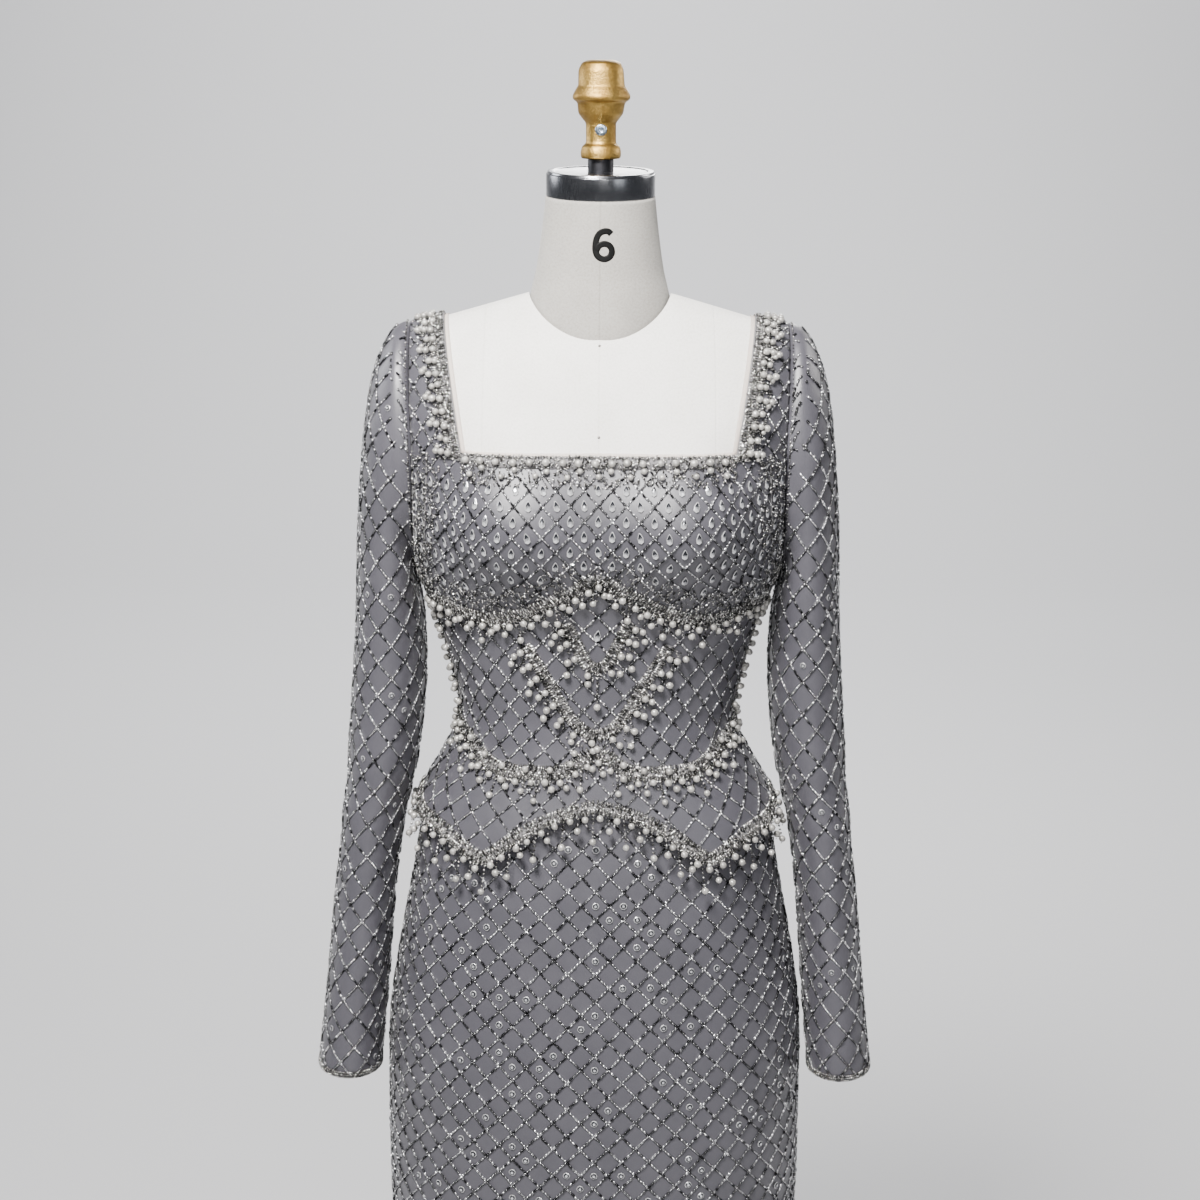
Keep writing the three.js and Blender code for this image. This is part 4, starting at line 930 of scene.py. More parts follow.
def sleeve_point(side, round_arm, down, above=0.0):
    """Point of a sleeve. round_arm goes round in degrees from the outer line over the front; down is
    the way from the armhole along the arm. Ovals stand between the outer and inner lines, and cubic
    curves run through them from the armhole's edge."""
    round_arm, down = np.broadcast_arrays(np.asarray(round_arm, float), np.asarray(down, float))
    shape = round_arm.shape
    round_arm, down = round_arm.ravel(), down.ravel()
    folded = (round_arm + 180) % 360 - 180
    level = np.interp(np.abs(folded), ARMHOLE_ROUND, ARMHOLE_LEVELS)
    turn = edge_turn(level)
    turn = side * np.where(folded < 0, 180 - turn, turn)
    stand = 0.35 + 1.65 * np.clip((CHEST - level) / (CHEST - UNDERARM), 0, 1) ** 2
    normal = figure_normal(turn, level)
    start = figure(turn, level) + normal * (SNUG + CLOTH_WALL + above)
    start[:, 0] += side * stand
    ends = np.minimum(np.abs(folded), 180 - np.abs(folded)) < 0.01
    start[:, 1] = np.where(ends, 0, start[:, 1])
    outer, inner = SLEEVE_RINGS[:, 0:2], SLEEVE_RINGS[:, 2:4]
    middle, half = (outer + inner) / 2, (outer - inner) / 2
    reach = np.linalg.norm(half, axis=1, keepdims=True)
    grow = above + sleeve_folds(folded, down)
    cosine, sine = np.cos(np.radians(folded)), np.sin(np.radians(folded))
    wide = (reach + grow[None]) / reach * cosine
    x = side * (middle[:, :1] + half[:, :1] * wide)
    z = middle[:, 1:] + half[:, 1:] * wide
    y = SLEEVE_RINGS[:, 5:6] - (SLEEVE_RINGS[:, 4:5] + grow[None]) * sine
    rings = np.concatenate([start[None], np.stack([x, y, z], -1)])
    return hermite(SLEEVE_DOWN, rings, down).reshape(*shape, 3)


def sleeve_normal(side, round_arm, down):
    """Outward direction of a sleeve, from points a little to each side."""
    across = sleeve_point(side, round_arm + 1, down) - sleeve_point(side, round_arm - 1, down)
    low = sleeve_point(side, round_arm, np.minimum(down + 1.5, CUFF))
    along = low - sleeve_point(side, round_arm, np.maximum(down - 1.5, 0))
    return unit(np.cross(across, along) * side)


sleeve_down = np.concatenate([np.linspace(0, 60, 14), np.linspace(60, CUFF, 66)[1:]])[:, None]
sleeve_round = np.arange(0, 360, 6.0)
for side, word in ((-1, "left"), (1, "right")):
    grid = sleeve_point(side, sleeve_round, sleeve_down)
    around = np.broadcast_to(np.radians(sleeve_round) * 43, grid.shape[:2])
    down = np.broadcast_to(sleeve_down, grid.shape[:2])
    flat_map = np.stack([around, down], -1).reshape(-1, 2) * METRE
    faces = grid_faces(*grid.shape[:2], True)
    if side < 0:
        faces = faces[:, ::-1]
    sleeve = new_piece(f"sleeve_{word}_panel", grid.reshape(-1, 3), faces, satin, "beaded_cloth",
                       [f"sleeve_{word}"], flat_map=flat_map)
    wall = sleeve.modifiers.new("cloth_wall", "SOLIDIFY")
    wall.thickness = CLOTH_WALL * METRE
    wall.offset = -1

# Lattice: silver-lined glass bugles, threaded in straight lines that cross in diamonds over every
# panel. Each bugle is a short closed prism, turned by chance about its thread as real ones are.
chance = np.random.default_rng(6)
Shape = namedtuple("Shape", "points faces round slots tones", defaults=(None, None))
PRISM = Shape(
    np.array([(np.cos(a), np.sin(a), e) for e in (-0.5, 0.5) for a in np.radians([90, 210, 330])]),
    np.array([(0, 2, 1), (3, 4, 5), (0, 1, 4), (0, 4, 3), (1, 2, 5), (1, 5, 4), (2, 0, 3), (2, 3, 5)]),
    np.array([False] * 2 + [True] * 6),
)
SEED = Shape(
    np.array([(1, 0, 0), (0, 1, 0), (-1, 0, 0), (0, -1, 0), (0, 0, 0.8), (0, 0, -0.8)], float),
    np.array([(0, 1, 4), (1, 2, 4), (2, 3, 4), (3, 0, 4), (1, 0, 5), (2, 1, 5), (3, 2, 5), (0, 3, 5)]),
    np.full(8, True),
)


def ball_shape(segments, rings):
    """A ball, in rings between two poles."""
    turns = np.arange(segments) * 2 * np.pi / segments
    lifts = np.linspace(0, np.pi, rings + 2)[1:-1]
    body = np.stack([np.outer(np.sin(lifts), np.cos(turns)), np.outer(np.sin(lifts), np.sin(turns)),
                     np.outer(np.cos(lifts), np.ones(segments))], -1).reshape(-1, 3)
    points = np.concatenate([body, [(0, 0, 1), (0, 0, -1)]])
    quads = grid_faces(rings, segments, True)
    top, bottom = len(points) - 2, len(points) - 1
    k = np.arange(segments)
    beside = (k + 1) % segments
    last = (rings - 1) * segments
    caps = [np.stack([np.full(segments, top), k, beside], -1),
            np.stack([np.full(segments, bottom), last + beside, last + k], -1)]
    faces = np.concatenate([quads[:, [0, 3, 2]], quads[:, [0, 2, 1]], *caps])
    return Shape(points, faces, np.full(len(faces), True))


PEARL = ball_shape(10, 3)


class BeadWork:
    """Gathers beads, each a small shape set at a place in a frame of three directions, into one mesh."""

    def __init__(self):
        self.points, self.faces, self.tones, self.slots, self.round, self.count = [], [], [], [], [], 0

    def add(self, shape, places, frames, sizes, slot=0):
        """places (n, 3), frames (n, 3, 3) with the shape's three directions as rows, sizes (n, 3). A
        stone's faces have slots and tones of their own; another bead has one of each."""
        sizes = np.broadcast_to(np.asarray(sizes, float), (len(places), 3))
        set_points = np.einsum("kc,nc,ncd->nkd", shape.points, sizes, frames) + places[:, None]
        starts = self.count + np.arange(len(places)) * len(shape.points)
        self.points.append(set_points.reshape(-1, 3))
        self.faces.append((shape.faces[None] + starts[:, None, None]).reshape(-1, 3))
        cut = shape.slots is not None
        self.slots.append(np.tile(shape.slots if cut else np.full(len(shape.faces), slot), len(places)))
        self.round.append(np.tile(shape.round, len(places)))
        tones = chance.random((len(places), len(shape.faces) if cut else 1))
        tones = np.clip(shape.tones + 0.35 * (tones - 0.5), 0, 1) if cut else tones
        self.tones.append(np.broadcast_to(tones, (len(places), len(shape.faces))).ravel())
        self.count += len(places) * len(shape.points)

    def make(self, name, finishes, slot, replaces=()):
        """One object, with its tone as an attribute of each face."""
        piece = new_piece(name, np.concatenate(self.points), np.concatenate(self.faces), finishes[0], slot,
                          replaces, smooth=False)
        for finish in finishes[1:]:
            piece.data.materials.append(finish)
        piece.data.polygons.foreach_set("material_index", np.concatenate(self.slots).astype(np.int32))
        piece.data.polygons.foreach_set("use_smooth", np.concatenate(self.round))
        tone = piece.data.attributes.new("tone", "FLOAT", "FACE")
        tone.data.foreach_set("value", np.concatenate(self.tones).astype(np.float32))
        return piece


def frames_along(axis, normal, spin):
    """Three directions for each bead: two across it, turned about it by spin, and its own axis."""
    axis = unit(axis)
    side = unit(np.cross(normal, axis))
    up = np.cross(axis, side)
    c, s = np.cos(spin)[:, None], np.sin(spin)[:, None]
    return np.stack([side * c + up * s, up * c - side * s, axis], 1)


def build_bead_tone(add, given):
    """A bead's own brightness, from dark to bright, in even steps of chance."""
    curve = add("ShaderNodeMath", {"operation": "POWER"}, _0=given["Tone"], _1=given["Contrast"])
    value = add("ShaderNodeMapRange", _0=curve[0], _1=0.0, _2=1.0, _3=given["Dark"], _4=given["Bright"])
    return {"Value": value[0]}


bead_tone = shared_effect(
    "bead_tone",
    [("Tone", "NodeSocketFloat", 0.5), ("Contrast", "NodeSocketFloat", 1.0),
     ("Dark", "NodeSocketFloat", 0.1), ("Bright", "NodeSocketFloat", 1.0)],
    [("Value", "NodeSocketFloat")],
    build_bead_tone,
)


def bead_finish(name, dark, bright, metallic, smooth, rough, contrast=1.0, **sockets):
    """Beads of one kind: each takes its colour between two tones and its own polish."""
    bead = Finish(name, bright, smooth, metallic, **sockets)
    tone = bead.node("ShaderNodeAttribute")
    tone.attribute_name = "tone"
    value = bead.group(bead_tone, Tone=tone.outputs["Fac"], Contrast=contrast, Dark=0.0, Bright=1.0)
    mix = bead.node("ShaderNodeMix", Factor=value.outputs["Value"])
    mix.data_type = "RGBA"
    mix.inputs[6].default_value = (*dark, 1)
    mix.inputs[7].default_value = (*bright, 1)
    bead.link(mix.outputs[2], "Base Color")
    polish = bead.group(bead_tone, Tone=tone.outputs["Fac"], Contrast=0.7, Dark=rough, Bright=smooth)
    bead.link(polish.outputs["Value"], "Roughness")
    return bead.material


bugle_glass = bead_finish("silver_bugle", (0.015, 0.015, 0.017), (0.90, 0.90, 0.92), 0.85, 0.16, 0.28, 1.6)
BUGLE_RADIUS = 1.2
BUGLE_SEAT = 0.55


def diamond_lines(half_width, low, high, wide, tall, beads):
    """Bugles of a diamond lattice on a flat panel, as their two ends and middle. From each crossing one
    side climbs to the right and one to the left, and each side holds the same number of beads."""
    i = np.arange(-int(half_width / wide * 2) - 2, int(half_width / wide * 2) + 3)
    j = np.arange(int(low / tall * 2) - 2, int(high / tall * 2) + 3)
    i, j = (grid.ravel() for grid in np.meshgrid(i, j, indexing="ij"))
    crossing = (i + j) % 2 == 0
    i, j = i[crossing, None, None], j[crossing, None, None]
    lean = np.array([1, -1])[None, :, None]
    fill = np.stack([(np.arange(beads) + 0.08) / beads, (np.arange(beads) + 0.92) / beads])
    ends = []
    for share in (*fill, fill.mean(0)):
        across = (i + lean * share) * wide / 2
        level = (j + share + 0 * lean) * tall / 2
        ends.append((across.ravel(), level.ravel()))
    return ends


def string_lattice(work, place, ends, kept, radius=BUGLE_RADIUS):
    """Sets the kept bugles on a surface: each spans the places of its two ends."""
    (u0, v0), (u1, v1), (u, v) = ((a[kept], b[kept]) for a, b in ends)
    start, _ = place(u0, v0, BUGLE_SEAT)
    end, _ = place(u1, v1, BUGLE_SEAT)
    _, normal = place(u, v, BUGLE_SEAT)
    axis = end - start
    good = np.isfinite(axis).all(1) & np.isfinite(normal).all(1)
    start, end, normal, axis = start[good], end[good], normal[good], axis[good]
    length = np.linalg.norm(axis, axis=1)
    wobble = chance.normal(0, 0.06, axis.shape) * length[:, None]
    frames = frames_along(axis + wobble, normal, chance.random(len(axis)) * 2 * np.pi)
    sizes = np.stack([np.full(len(axis), radius), np.full(len(axis), radius), length], -1)
    sizes[:, :2] *= chance.uniform(0.88, 1.1, (len(axis), 1))
    middle = (start + end) / 2 + normal * chance.normal(0, 0.1, (len(axis), 1))
    work.add(PRISM, middle, frames, sizes)


CELL_WIDE = 24.0
CELL_TALL = 24.5
SIDE_BEADS = 5
SKIRT_LATTICE_TOP = 1000.0
for back, word, chart in ((False, "front", SKIRT_FRONT_MAP), (True, "back", SKIRT_BACK_MAP)):
    ends = diamond_lines(420, HEM, SKIRT_LATTICE_TOP, CELL_WIDE, CELL_TALL, SIDE_BEADS)
    u, v = ends[2]
    inside = (np.abs(u) < chart.half_width(v) - 1.2) & (v > HEM + 2)
    inside &= v < peplum_hem(chart.turn(u, v)) + 14
    sides = ((0, ""),) if not back else ((-1, "_left"), (1, "_right"))
    for side, suffix in sides:
        kept = inside if side == 0 else inside & (u * side > 0.8)
        work = BeadWork()
        string_lattice(work, chart.place, ends, kept)
        work.make(f"skirt_{word}{suffix}_lattice", [bugle_glass], "bead_trim")


def bodice_place(chart):
    """Place on the bodice of a lattice that keeps its size at the centre and closes up towards the
    side seams where the body narrows."""
    full = chart.half_width(1222.0)

    def place(across, level, above):
        spare = full - chart.half_width(level)
        drawn = np.abs(across) - spare * (np.abs(across) / full) ** 1.6
        outside = np.abs(across) > full
        points, normals = chart.place(np.sign(across) * drawn, level, above)
        points[outside] = np.nan
        return points, normals
    return place, full


def bodice_columns(chart, place_full, across, level):
    """Column of a place on the bodice, 0 on the centre line and 1 at the side or armhole."""
    spare = place_full - chart.half_width(level)
    drawn = np.abs(across) - spare * (np.abs(across) / place_full) ** 1.6
    turn = chart.turn(drawn, level)
    away = np.abs(180 - turn) if chart.back else np.abs(turn)
    return away / edge_turn(level)


bust_ends = diamond_lines(330, 920, SHOULDER_TOP, CELL_WIDE, CELL_TALL, SIDE_BEADS)
for back, word, chart in ((False, "front", BODICE_FRONT_MAP), (True, "back", BODICE_BACK_MAP)):
    place, full = bodice_place(chart)
    u, v = bust_ends[2]
    column = bodice_columns(chart, full, u, v)
    neckline = BACK_NECKLINE - 3 if back else CHEST - 3
    inside = (np.abs(u) < full) & (column < 0.985) & (v < SHOULDER_TOP - 3)
    inside &= (v < neckline) | (column > STRAP_COLUMN + 0.03)
    spare = full - chart.half_width(v)
    drawn = np.sign(u) * (np.abs(u) - spare * (np.minimum(np.abs(u), full) / full) ** 1.6)
    inside &= v > peplum_hem(chart.turn(drawn, v)) + 3
    sides = ((0, ""),) if not back else ((-1, "_left"), (1, "_right"))
    for side, suffix in sides:
        kept = inside if side == 0 else inside & (u * side > 3.5)
        work = BeadWork()
        string_lattice(work, place, bust_ends, kept)
        work.make(f"bodice_{word}{suffix}_lattice", [bugle_glass], "bead_trim")


HEIGHT_STEP, REACH_STEP = 2.5, 2.0


class SleeveMap:
    """A flat map of a sleeve: the distance round from its outer line at one height, and that height.
    Level lines over the sleeve are tabled, and places outside it read as nan."""

    def __init__(self, side):
        self.side = side
        self.rounds = np.linspace(-180, 180, 241)
        self.heights = np.arange(704, 1396, HEIGHT_STEP)
        downs = np.linspace(0, CUFF, 240)
        grid = sleeve_point(side, self.rounds[None], downs[:, None])
        self.down = np.stack([
            np.interp(self.heights, np.maximum.accumulate(grid[::-1, k, 2]), downs[::-1], left=np.nan, right=np.nan)
            for k in range(len(self.rounds))
        ], 1)
        spots = sleeve_point(side, np.broadcast_to(self.rounds, self.down.shape), np.nan_to_num(self.down))
        spots[np.isnan(self.down)] = np.nan
        self.crest = downs[grid[..., 2].argmax(0)]
        edge = np.linalg.norm(np.diff(grid[3], axis=0), axis=1)
        self.edge_way = np.concatenate([[0], np.cumsum(edge)]) - edge.sum() / 2
        self.reach = np.arange(-190, 190.1, REACH_STEP)
        self.turned = np.full((len(self.heights), len(self.reach)), np.nan)
        middle = len(self.rounds) // 2
        for row, line in enumerate(spots):
            steps = np.linalg.norm(np.diff(line, axis=0), axis=1)
            after = np.cumsum(np.nan_to_num(steps[middle:], nan=1e6))
            before = np.cumsum(np.nan_to_num(steps[:middle][::-1], nan=1e6))
            length = np.concatenate([-before[::-1], [0], after])
            self.turned[row] = np.interp(self.reach, length, self.rounds, left=np.nan, right=np.nan)
            reached = np.abs(length) < 1e5
            if not reached[middle] or np.isnan(line[middle]).any():
                self.turned[row] = np.nan
                continue
            limit_low, limit_high = length[reached].min(), length[reached].max()
            outside = (self.reach < limit_low) | (self.reach > limit_high)
            self.turned[row, outside] = np.nan

    def look_up(self, table, row, column):
        row = np.clip(row, 0, table.shape[0] - 1.001)
        column = np.clip(column, 0, table.shape[1] - 1.001)
        i, j = row.astype(int), column.astype(int)
        s, t = row - i, column - j
        return ((table[i, j] * (1 - t) + table[i, j + 1] * t) * (1 - s)
                + (table[i + 1, j] * (1 - t) + table[i + 1, j + 1] * t) * s)

    def place(self, across, height, above):
        row = (height - self.heights[0]) / HEIGHT_STEP
        turned = self.look_up(self.turned, row, (across - self.reach[0]) / REACH_STEP)
        step = self.rounds[1] - self.rounds[0]
        down = self.look_up(self.down, row, (np.nan_to_num(turned) - self.rounds[0]) / step)
        lost = np.isnan(turned) | np.isnan(down) | (down < 1.5)
        turned, down = np.nan_to_num(turned), np.nan_to_num(down)
        normal = sleeve_normal(self.side, turned, down)
        points = sleeve_point(self.side, turned, down, 0.0) + normal * above
        points[lost] = np.nan
        return points, normal

    def place_by_edge(self, along, up, above):
        """Place on the strip beside the armhole, from the way round its edge, for the part of the
        strip that climbs away from the armhole before the sleeve falls."""
        turned = np.interp(along, self.edge_way, self.rounds)
        down = -up
        normal = sleeve_normal(self.side, turned, down)
        points = sleeve_point(self.side, turned, down, 0.0) + normal * above
        points[(down < 1.5) | (down > np.interp(turned, self.rounds, self.crest) + 1)] = np.nan
        return points, normal


SLEEVE_CELL_WIDE = 24.0
SLEEVE_CELL_TALL = 30.0
sleeve_maps = {}
for side, word in ((-1, "left"), (1, "right")):
    sleeve_maps[side] = SleeveMap(side)
    ends = diamond_lines(190, 700, 1390, SLEEVE_CELL_WIDE, SLEEVE_CELL_TALL, 6)
    u, v = ends[2]
    work = BeadWork()
    string_lattice(work, sleeve_maps[side].place, ends, (np.abs(u) < 186) & (v > 708))
    edge_ends = diamond_lines(280, -30, 0, SLEEVE_CELL_WIDE, SLEEVE_CELL_TALL, 6)
    string_lattice(work, sleeve_maps[side].place_by_edge, edge_ends, edge_ends[2][1] < 0)
    work.make(f"sleeve_{word}_lattice", [bugle_glass], "bead_trim")

# Beaded bands: silver seed beads and short bugles sewn thick along a line of net tape, with pearls
# that hang from its lower edge on strands of seeds. They follow the bust, waist and peplum.
silver_seed = bead_finish("silver_seed", (0.03, 0.029, 0.027), (0.90, 0.885, 0.86), 0.85, 0.16, 0.32, 1.6)
pearl_gloss = bead_finish("pearl", (0.33, 0.32, 0.30), (0.50, 0.485, 0.455), 0.35, 0.2, 0.3, 1.0,
                          coat_weight=1.0, coat_roughness=0.06)
PEARL_SLOT = 1
SEED_RADIUS = 0.95
PEARL_RADIUS = 3.25
STRAND_RADIUS, STRAND_STEP = 1.55, 3.3


class BandLine:
    """A smooth line on the cloth through given turns and levels. Places beside it are given by the way
    along it and the distance across it, which grows downwards on a line that runs towards +X."""

    def __init__(self, rows, off, back=False, by_turn=False):
        rows = np.array([row for row in rows], float)
        turn = rows[:, 0] if by_turn else turn_at(rows[:, 0], rows[:, 1])
        turn = 180 - turn if back else turn
        keys = np.concatenate([[0], np.cumsum(np.hypot(np.diff(turn) * 2.6, np.diff(rows[:, 1])))])
        at = np.linspace(0, keys[-1], 600)
        self.turn, self.level = hermite(keys, turn, at), hermite(keys, rows[:, 1], at)
        self.off = off
        points, _ = cloth_point(self.turn, self.level, off(self.level) + CLOTH_WALL)
        self.way = np.concatenate([[0], np.cumsum(np.linalg.norm(np.diff(points, axis=0), axis=1))])
        self.length = self.way[-1]
        degree = np.linalg.norm(figure(self.turn + 0.5, self.level) - figure(self.turn - 0.5, self.level), axis=1)
        step = np.linalg.norm(figure(self.turn, self.level) - figure(self.turn, self.level - 1), axis=1)
        self.degree, self.step = degree, step
        run = unit(np.stack([np.gradient(self.turn) * degree, np.gradient(self.level) * step], -1))
        self.across_turn, self.across_level = run[:, 1] / degree, -run[:, 0] / step

    def read(self, values, along):
        return np.interp(along, self.way, values)

    def spot(self, along, across, above, drop=0.0):
        """Place and outward direction. drop is how far straight down from there it hangs."""
        along, across, above, drop = np.broadcast_arrays(*(np.asarray(a, float) for a in (along, across, above, drop)))
        turn = self.read(self.turn, along) + self.read(self.across_turn, along) * across
        level = self.read(self.level, along) + self.read(self.across_level, along) * across
        seat = self.off(level) + CLOTH_WALL + above
        return cloth_point(turn, level - drop / self.read(self.step, along), seat)


def turn_at(x, height):
    """Turn of a distance from the centre line on the figure at a height."""
    half_width = hermite(SECTIONS[:, 0], SECTIONS[:, 1], height)
    power = hermite(SECTIONS[:, 0], SECTIONS[:, 4], height)
    part = np.minimum(np.abs(x) / half_width, 1)
    return np.sign(x) * np.degrees(np.arcsin(part ** (power / 2)))


def random_frames(count):
    """Frames that point every way, from random axes."""
    axis, other = unit(chance.normal(size=(count, 3))), unit(chance.normal(size=(count, 3)))
    return frames_along(axis, other, np.zeros(count))


def add_seeds(work, places, radius=SEED_RADIUS):
    sizes = radius * chance.uniform(0.8, 1.15, (len(places), 1)) * np.ones(3)
    work.add(SEED, places, random_frames(len(places)), sizes)


def add_pearls(work, places, normals, radius=PEARL_RADIUS):
    """Pearls, none quite round or of one size, with their poles turned to the sides."""
    frames = frames_along(np.cross(normals, (0, 0, 1.0)), normals, chance.random(len(places)) * 6)
    sizes = radius * chance.uniform(0.92, 1.06, (len(places), 1)) * np.array([1, 1, 0.97])
    work.add(PEARL, places, frames, sizes, PEARL_SLOT)


def encrust(work, line, low, high, per_area, start=0.0, end=None):
    """Beads of chance between two distances across a line: half seeds, half short bugles that lie
    roughly across it."""
    end = line.length if end is None else end
    count = int((end - start) * (high - low) * per_area)
    along, across = chance.uniform(start, end, count), chance.uniform(low, high, count)
    lift = chance.uniform(0.7, 2.3, count)
    places, normals = line.spot(along, across, lift)
    half = count // 2
    add_seeds(work, places[:half])
    below, _ = line.spot(along[half:], across[half:] + 1.0, lift[half:])
    axis = unit(below - places[half:]) + chance.normal(0, 0.35, (count - half, 3))
    frames = frames_along(axis, normals[half:], chance.random(count - half) * 6)
    sizes = np.stack([np.full(count - half, 0.75)] * 2 + [chance.uniform(2.0, 3.4, count - half)], -1)
    work.add(PRISM, places[half:], frames, sizes)


def ladder(work, line, low, high, step=2.5):
    """Even rungs across a line, each of one bugle."""
    along = np.arange(step / 2, line.length, step)
    along = along + chance.normal(0, 0.25, len(along))
    first, _ = line.spot(along, low, 1.1)
    last, normals = line.spot(along, high, 1.1)
    axis = last - first + chance.normal(0, 0.35, first.shape)
    length = np.linalg.norm(axis, axis=1)
    frames = frames_along(axis, normals, chance.random(len(along)) * 6)
    sizes = np.stack([np.full(len(along), 0.85)] * 2 + [length * 0.92], -1)
    work.add(PRISM, (first + last) / 2, frames, sizes)


def hang_pearls(work, line, edge, step, drops, radius=PEARL_RADIUS, start=None, end=None):
    """Strands that hang straight down from a line's lower edge, each of seeds with a pearl and one
    seed at its end. The drops take turns along the line."""
    start = step / 2 if start is None else start
    end = line.length if end is None else end
    along = np.arange(start, end, step)
    along = along + chance.normal(0, 0.5, len(along))
    drop = np.resize(np.asarray(drops, float), len(along)) + chance.normal(0, 0.6, len(along))
    place, normal = line.spot(along, edge, radius + 0.2, drop)
    add_pearls(work, place, normal, radius)
    tip, _ = line.spot(along, edge, radius * 0.7, drop + radius + 0.7)
    add_seeds(work, tip, 0.75)
    beads = np.maximum(((drop - radius) / STRAND_STEP).astype(int), 1)
    owner = np.repeat(np.arange(len(along)), beads)
    order = np.arange(len(owner)) - np.repeat(np.cumsum(beads) - beads, beads)
    hung = (order + 0.5) / beads[owner] * (drop[owner] - radius)
    above = 1.2 + (radius - 1.2) * hung / np.maximum(drop[owner], 1)
    strand, _ = line.spot(along[owner], edge, above, hung)
    add_seeds(work, strand, STRAND_RADIUS)


def pearl_rows(work, line, step, reaches, radius=PEARL_RADIUS, start=None, lead=0.0):
    """Short rows of pearls straight across a line, a row at every step."""
    rows = np.arange(step / 2 if start is None else start, line.length, step)
    for number, reach in enumerate(reaches):
        along = rows + chance.normal(0, 0.6, len(rows)) + lead * number
        place, normal = line.spot(along, reach + chance.normal(0, 0.4, len(rows)), radius + 0.2)
        add_pearls(work, place, normal, radius)


def tape_strip(line, low, high, above=0.25, thick=0.5):
    """Rings of points of the narrow net tape under a band, for a closed flat strip."""
    along = np.linspace(0, line.length, max(int(line.length / 4), 4))[:, None]
    section = [(low, above), (high, above), (high, above + thick), (low, above + thick)]
    across = np.array([a for a, _ in section])[None]
    height = np.array([h for _, h in section])[None]
    rings, _ = line.spot(along, across, height)
    return rings


# The band net's dark grey is partly the net tape's own colour and partly painted shade for the shadowed gaps between
# the beads.
net_tape_with_painted_shade = Finish("band_net_with_painted_shade", (0.16, 0.155, 0.16), 0.75)
net_weave = net_tape_with_painted_shade.group(weave, Vector=net_tape_with_painted_shade.place(), Threads=5200.0, Slubs=700.0)
net_tape_with_painted_shade.bump(net_weave.outputs["Height"], 0.0002, 0.5)
net_tone = net_tape_with_painted_shade.group(mottle, Vector=net_tape_with_painted_shade.place(), Scale=90.0, Low=0.6, High=0.85)
net_tape_with_painted_shade.link(net_tone.outputs["Value"], "Roughness")


def band(name, parts, replaces=()):
    """One band of one or more stretches, each a line, the edges of its tape, and the beads on it."""
    work = BeadWork()
    tapes = []
    for line, low, high, build in parts:
        build(work, line)
        tapes.append(closed_tube(tape_strip(line, low, high)))
    work.make(f"{name}_beads", [silver_seed, pearl_gloss], "bead_trim", replaces)
    tape = new_piece(f"{name}_tape", *joined(tapes), net_tape_with_painted_shade.material, "bead_trim")
    merge_and_turn_out(tape)


def both_sides(rows):
    """The same line on both sides of the centre front, from left to right."""
    return [(-x, z) for x, z in rows[:0:-1]] + rows


# distance from the centre line, height
UNDERBUST = [(0, 1186), (12, 1178), (35, 1165), (58, 1152), (85, 1144), (108, 1145), (130, 1152), (152, 1152)]
UPPER_VEE = [(0, 1104), (8, 1107), (15, 1120), (22, 1136), (27, 1145)]
LOWER_VEE = [(0, 1044), (14, 1050), (25, 1063), (37, 1084), (50, 1106), (61, 1124)]
WAIST_SWAG = [(0, 1027), (12, 1019), (25, 1010), (42, 1006), (78, 1005), (90, 1008), (100, 1017), (110, 1028),
              (122, 1040)]


def underbust_work(work, line):
    encrust(work, line, -7, 2, 0.3)
    encrust(work, line, -32, -7, 0.1)
    encrust(work, line, 2, 16, 0.05)
    ladder(work, line, -10, -3)
    ladder(work, line, -3.5, 3)
    ladder(work, line, 3, 8, 4.4)
    hang_pearls(work, line, 1, 6.4, [3.6, 12, 4, 20, 3.4, 9])


def vee_work(work, line):
    encrust(work, line, -5, 6, 0.14)
    ladder(work, line, -6, -0.5, 2.3)
    ladder(work, line, 0, 6, 2.3)
    encrust(work, line, 6, 15, 0.05)
    pearl_rows(work, line, 13.6, [7.2, 14.2], start=5, lead=1.5)
    pearl_rows(work, line, 27.2, [21], start=12)


def waist_work(work, line):
    encrust(work, line, -7, 4, 0.26)
    encrust(work, line, 4, 14, 0.05)
    ladder(work, line, -10, -4)
    ladder(work, line, -3, 3)
    ladder(work, line, 3, 7, 4.4)
    hang_pearls(work, line, 2, 6.4, [3.8, 12, 3.6, 20, 4, 9])
    pearl_rows(work, line, 23, [-5.5], start=9)


def hem_work(work, line):
    encrust(work, line, -9, 1.5, 0.3)
    ladder(work, line, -11.5, -6)
    ladder(work, line, -5, 1)
    hang_pearls(work, line, 0.5, 6.7, [3.6, 13, 3.6, 24])


def side_work(work, line):
    encrust(work, line, -4, 3.5, 0.2)
    pearl_rows(work, line, 10, [5.5], start=4)
    pearl_rows(work, line, 17, [-4], start=9)


def flank_work(work, line):
    encrust(work, line, -20, 16, 0.075)


def drop_work(work, line):
    hang_pearls(work, line, 0, 50, [34], start=line.length / 2, end=line.length / 2 + 1)


